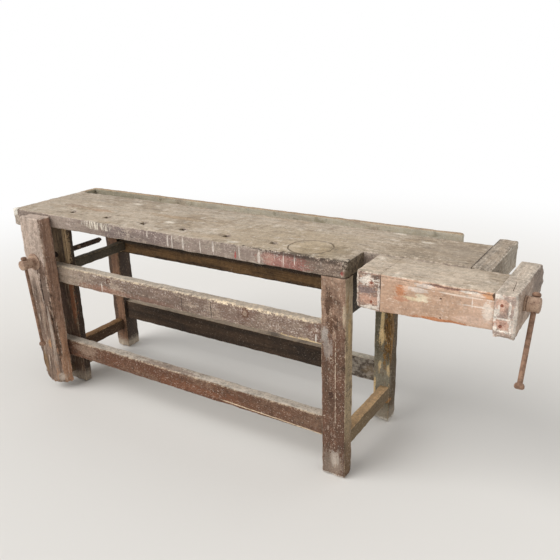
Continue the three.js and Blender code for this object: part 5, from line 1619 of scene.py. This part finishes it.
coat.lay(coat.mottle.band(0.57, 0.7), (130, 113, 99), 0.55)
coat.lay(coat.streak.band(0.56, 0.67), (210, 199, 185), 0.45)
block_front = coat.side(1, -1)
block_tone = coat.mixed(coat.rim.band(0.42, 0.58), (188, 162, 146), (148, 131, 121))
coat.lay(block_front, block_tone)
coat.marks(
    block_low.y,
    (
        (1.005, 0.769, 0.022, 0.018, (200, 162, 142)),
        (1.0, 0.713, 0.022, 0.014, (196, 154, 134)),
        (0.988, 0.792, 0.018, 0.006, white_filler),
        (0.987, 0.738, 0.005, 0.018, white_filler),
        (1.024, 0.755, 0.0035, 0.03, white_filler),
        (1.01, 0.730, 0.020, 0.0028, white_filler),
        (1.012, 0.694, 0.022, 0.0035, white_filler),
        (1.029, 0.71, 0.0030, 0.02, white_filler),
        (0.995, 0.755, 0.0030, 0.018, white_filler),
        (0.990, 0.700, 0.006, 0.008, white_filler),
    ),
    0.85,
    1.3,
    block_front,
)
block_side = coat.side(0, 1)
block_right = coat.mixed(coat.speckle(0.46, 0.1), (184, 162, 144), (142, 122, 107))
coat.lay(block_side, block_right, 0.88)
coat.lay(block_side * coat.y.band(-0.12, 0.0), (108, 95, 86), 0.75)
coat.lay(block_side * coat.speckle(0.53), (94, 80, 70), 0.5)
coat.lay(block_side * coat.blots(34, 0.58, 0.05), (188, 174, 160), 0.5)
coat.lay(coat.flecks(0.63), (226, 216, 204), 0.5)
coat.lay(coat.blots(80, 0.61), (88, 72, 62), 0.55)
block_corner = coat.spot((1.040, -0.226, 0.73), (0.007, 0.016, 0.06), 1.2)
coat.lay(block_corner, white_filler, 0.7)
coat.rub((220, 207, 192), 0.65)
settle(block, "tail_vise", "vise_wood", coat.close(1.8), "tail_vise_end_block")


# The pegs: short dowels of split oak, driven and cut off. The four in the front of the tail
# vise are stained red brown with dark pores, and stand level with the paint round them.


def peg_finish(name, light, deep):
    """End grain of a dowel: speckled with dark pores."""
    coat = Coat(name, 1, light, deep, worn=False)
    coat.lay(coat.flecks(0.56), (84, 52, 40), 0.75)
    return coat.close()


red_peg = peg_finish("red_peg_finish", (150, 96, 76), (116, 70, 55))
plain_peg = peg_finish("plain_peg_finish", (158, 128, 98), (126, 98, 74))
front_pegs = ("tail_jaw_peg_upper", "tail_jaw_peg_lower", "tail_block_peg_upper", "tail_block_peg_lower")
for peg_node in front_pegs:
    peg_low, peg_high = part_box(peg_node)
    peg_middle = middle(peg_node)
    peg_radius = (peg_high.x - peg_low.x) / 2
    peg_base = Vector((peg_middle.x, peg_high.y, peg_middle.z))
    peg_length = peg_high.y - peg_low.y
    peg = turned(
        "dressed_" + peg_node,
        peg_base,
        -along_y,
        (
            (0.0, peg_radius * 0.8),
            (0.003, peg_radius),
            (peg_length + 0.0012, peg_radius),
            (peg_length + 0.0026, peg_radius * 0.82),
            (peg_length + 0.003, peg_radius * 0.4),
        ),
        20,
    )
    settle(peg, "tail_vise", "peg_wood", red_peg, peg_node)
for peg_node in (
    "end_cap_peg_1",
    "end_cap_peg_2",
    "upper_stretcher_peg_1",
    "upper_stretcher_peg_2",
    "lower_stretcher_peg_1",
    "lower_stretcher_peg_2",
    "guide_bar_peg",
):
    finish_solid(peg_node, plain_peg)
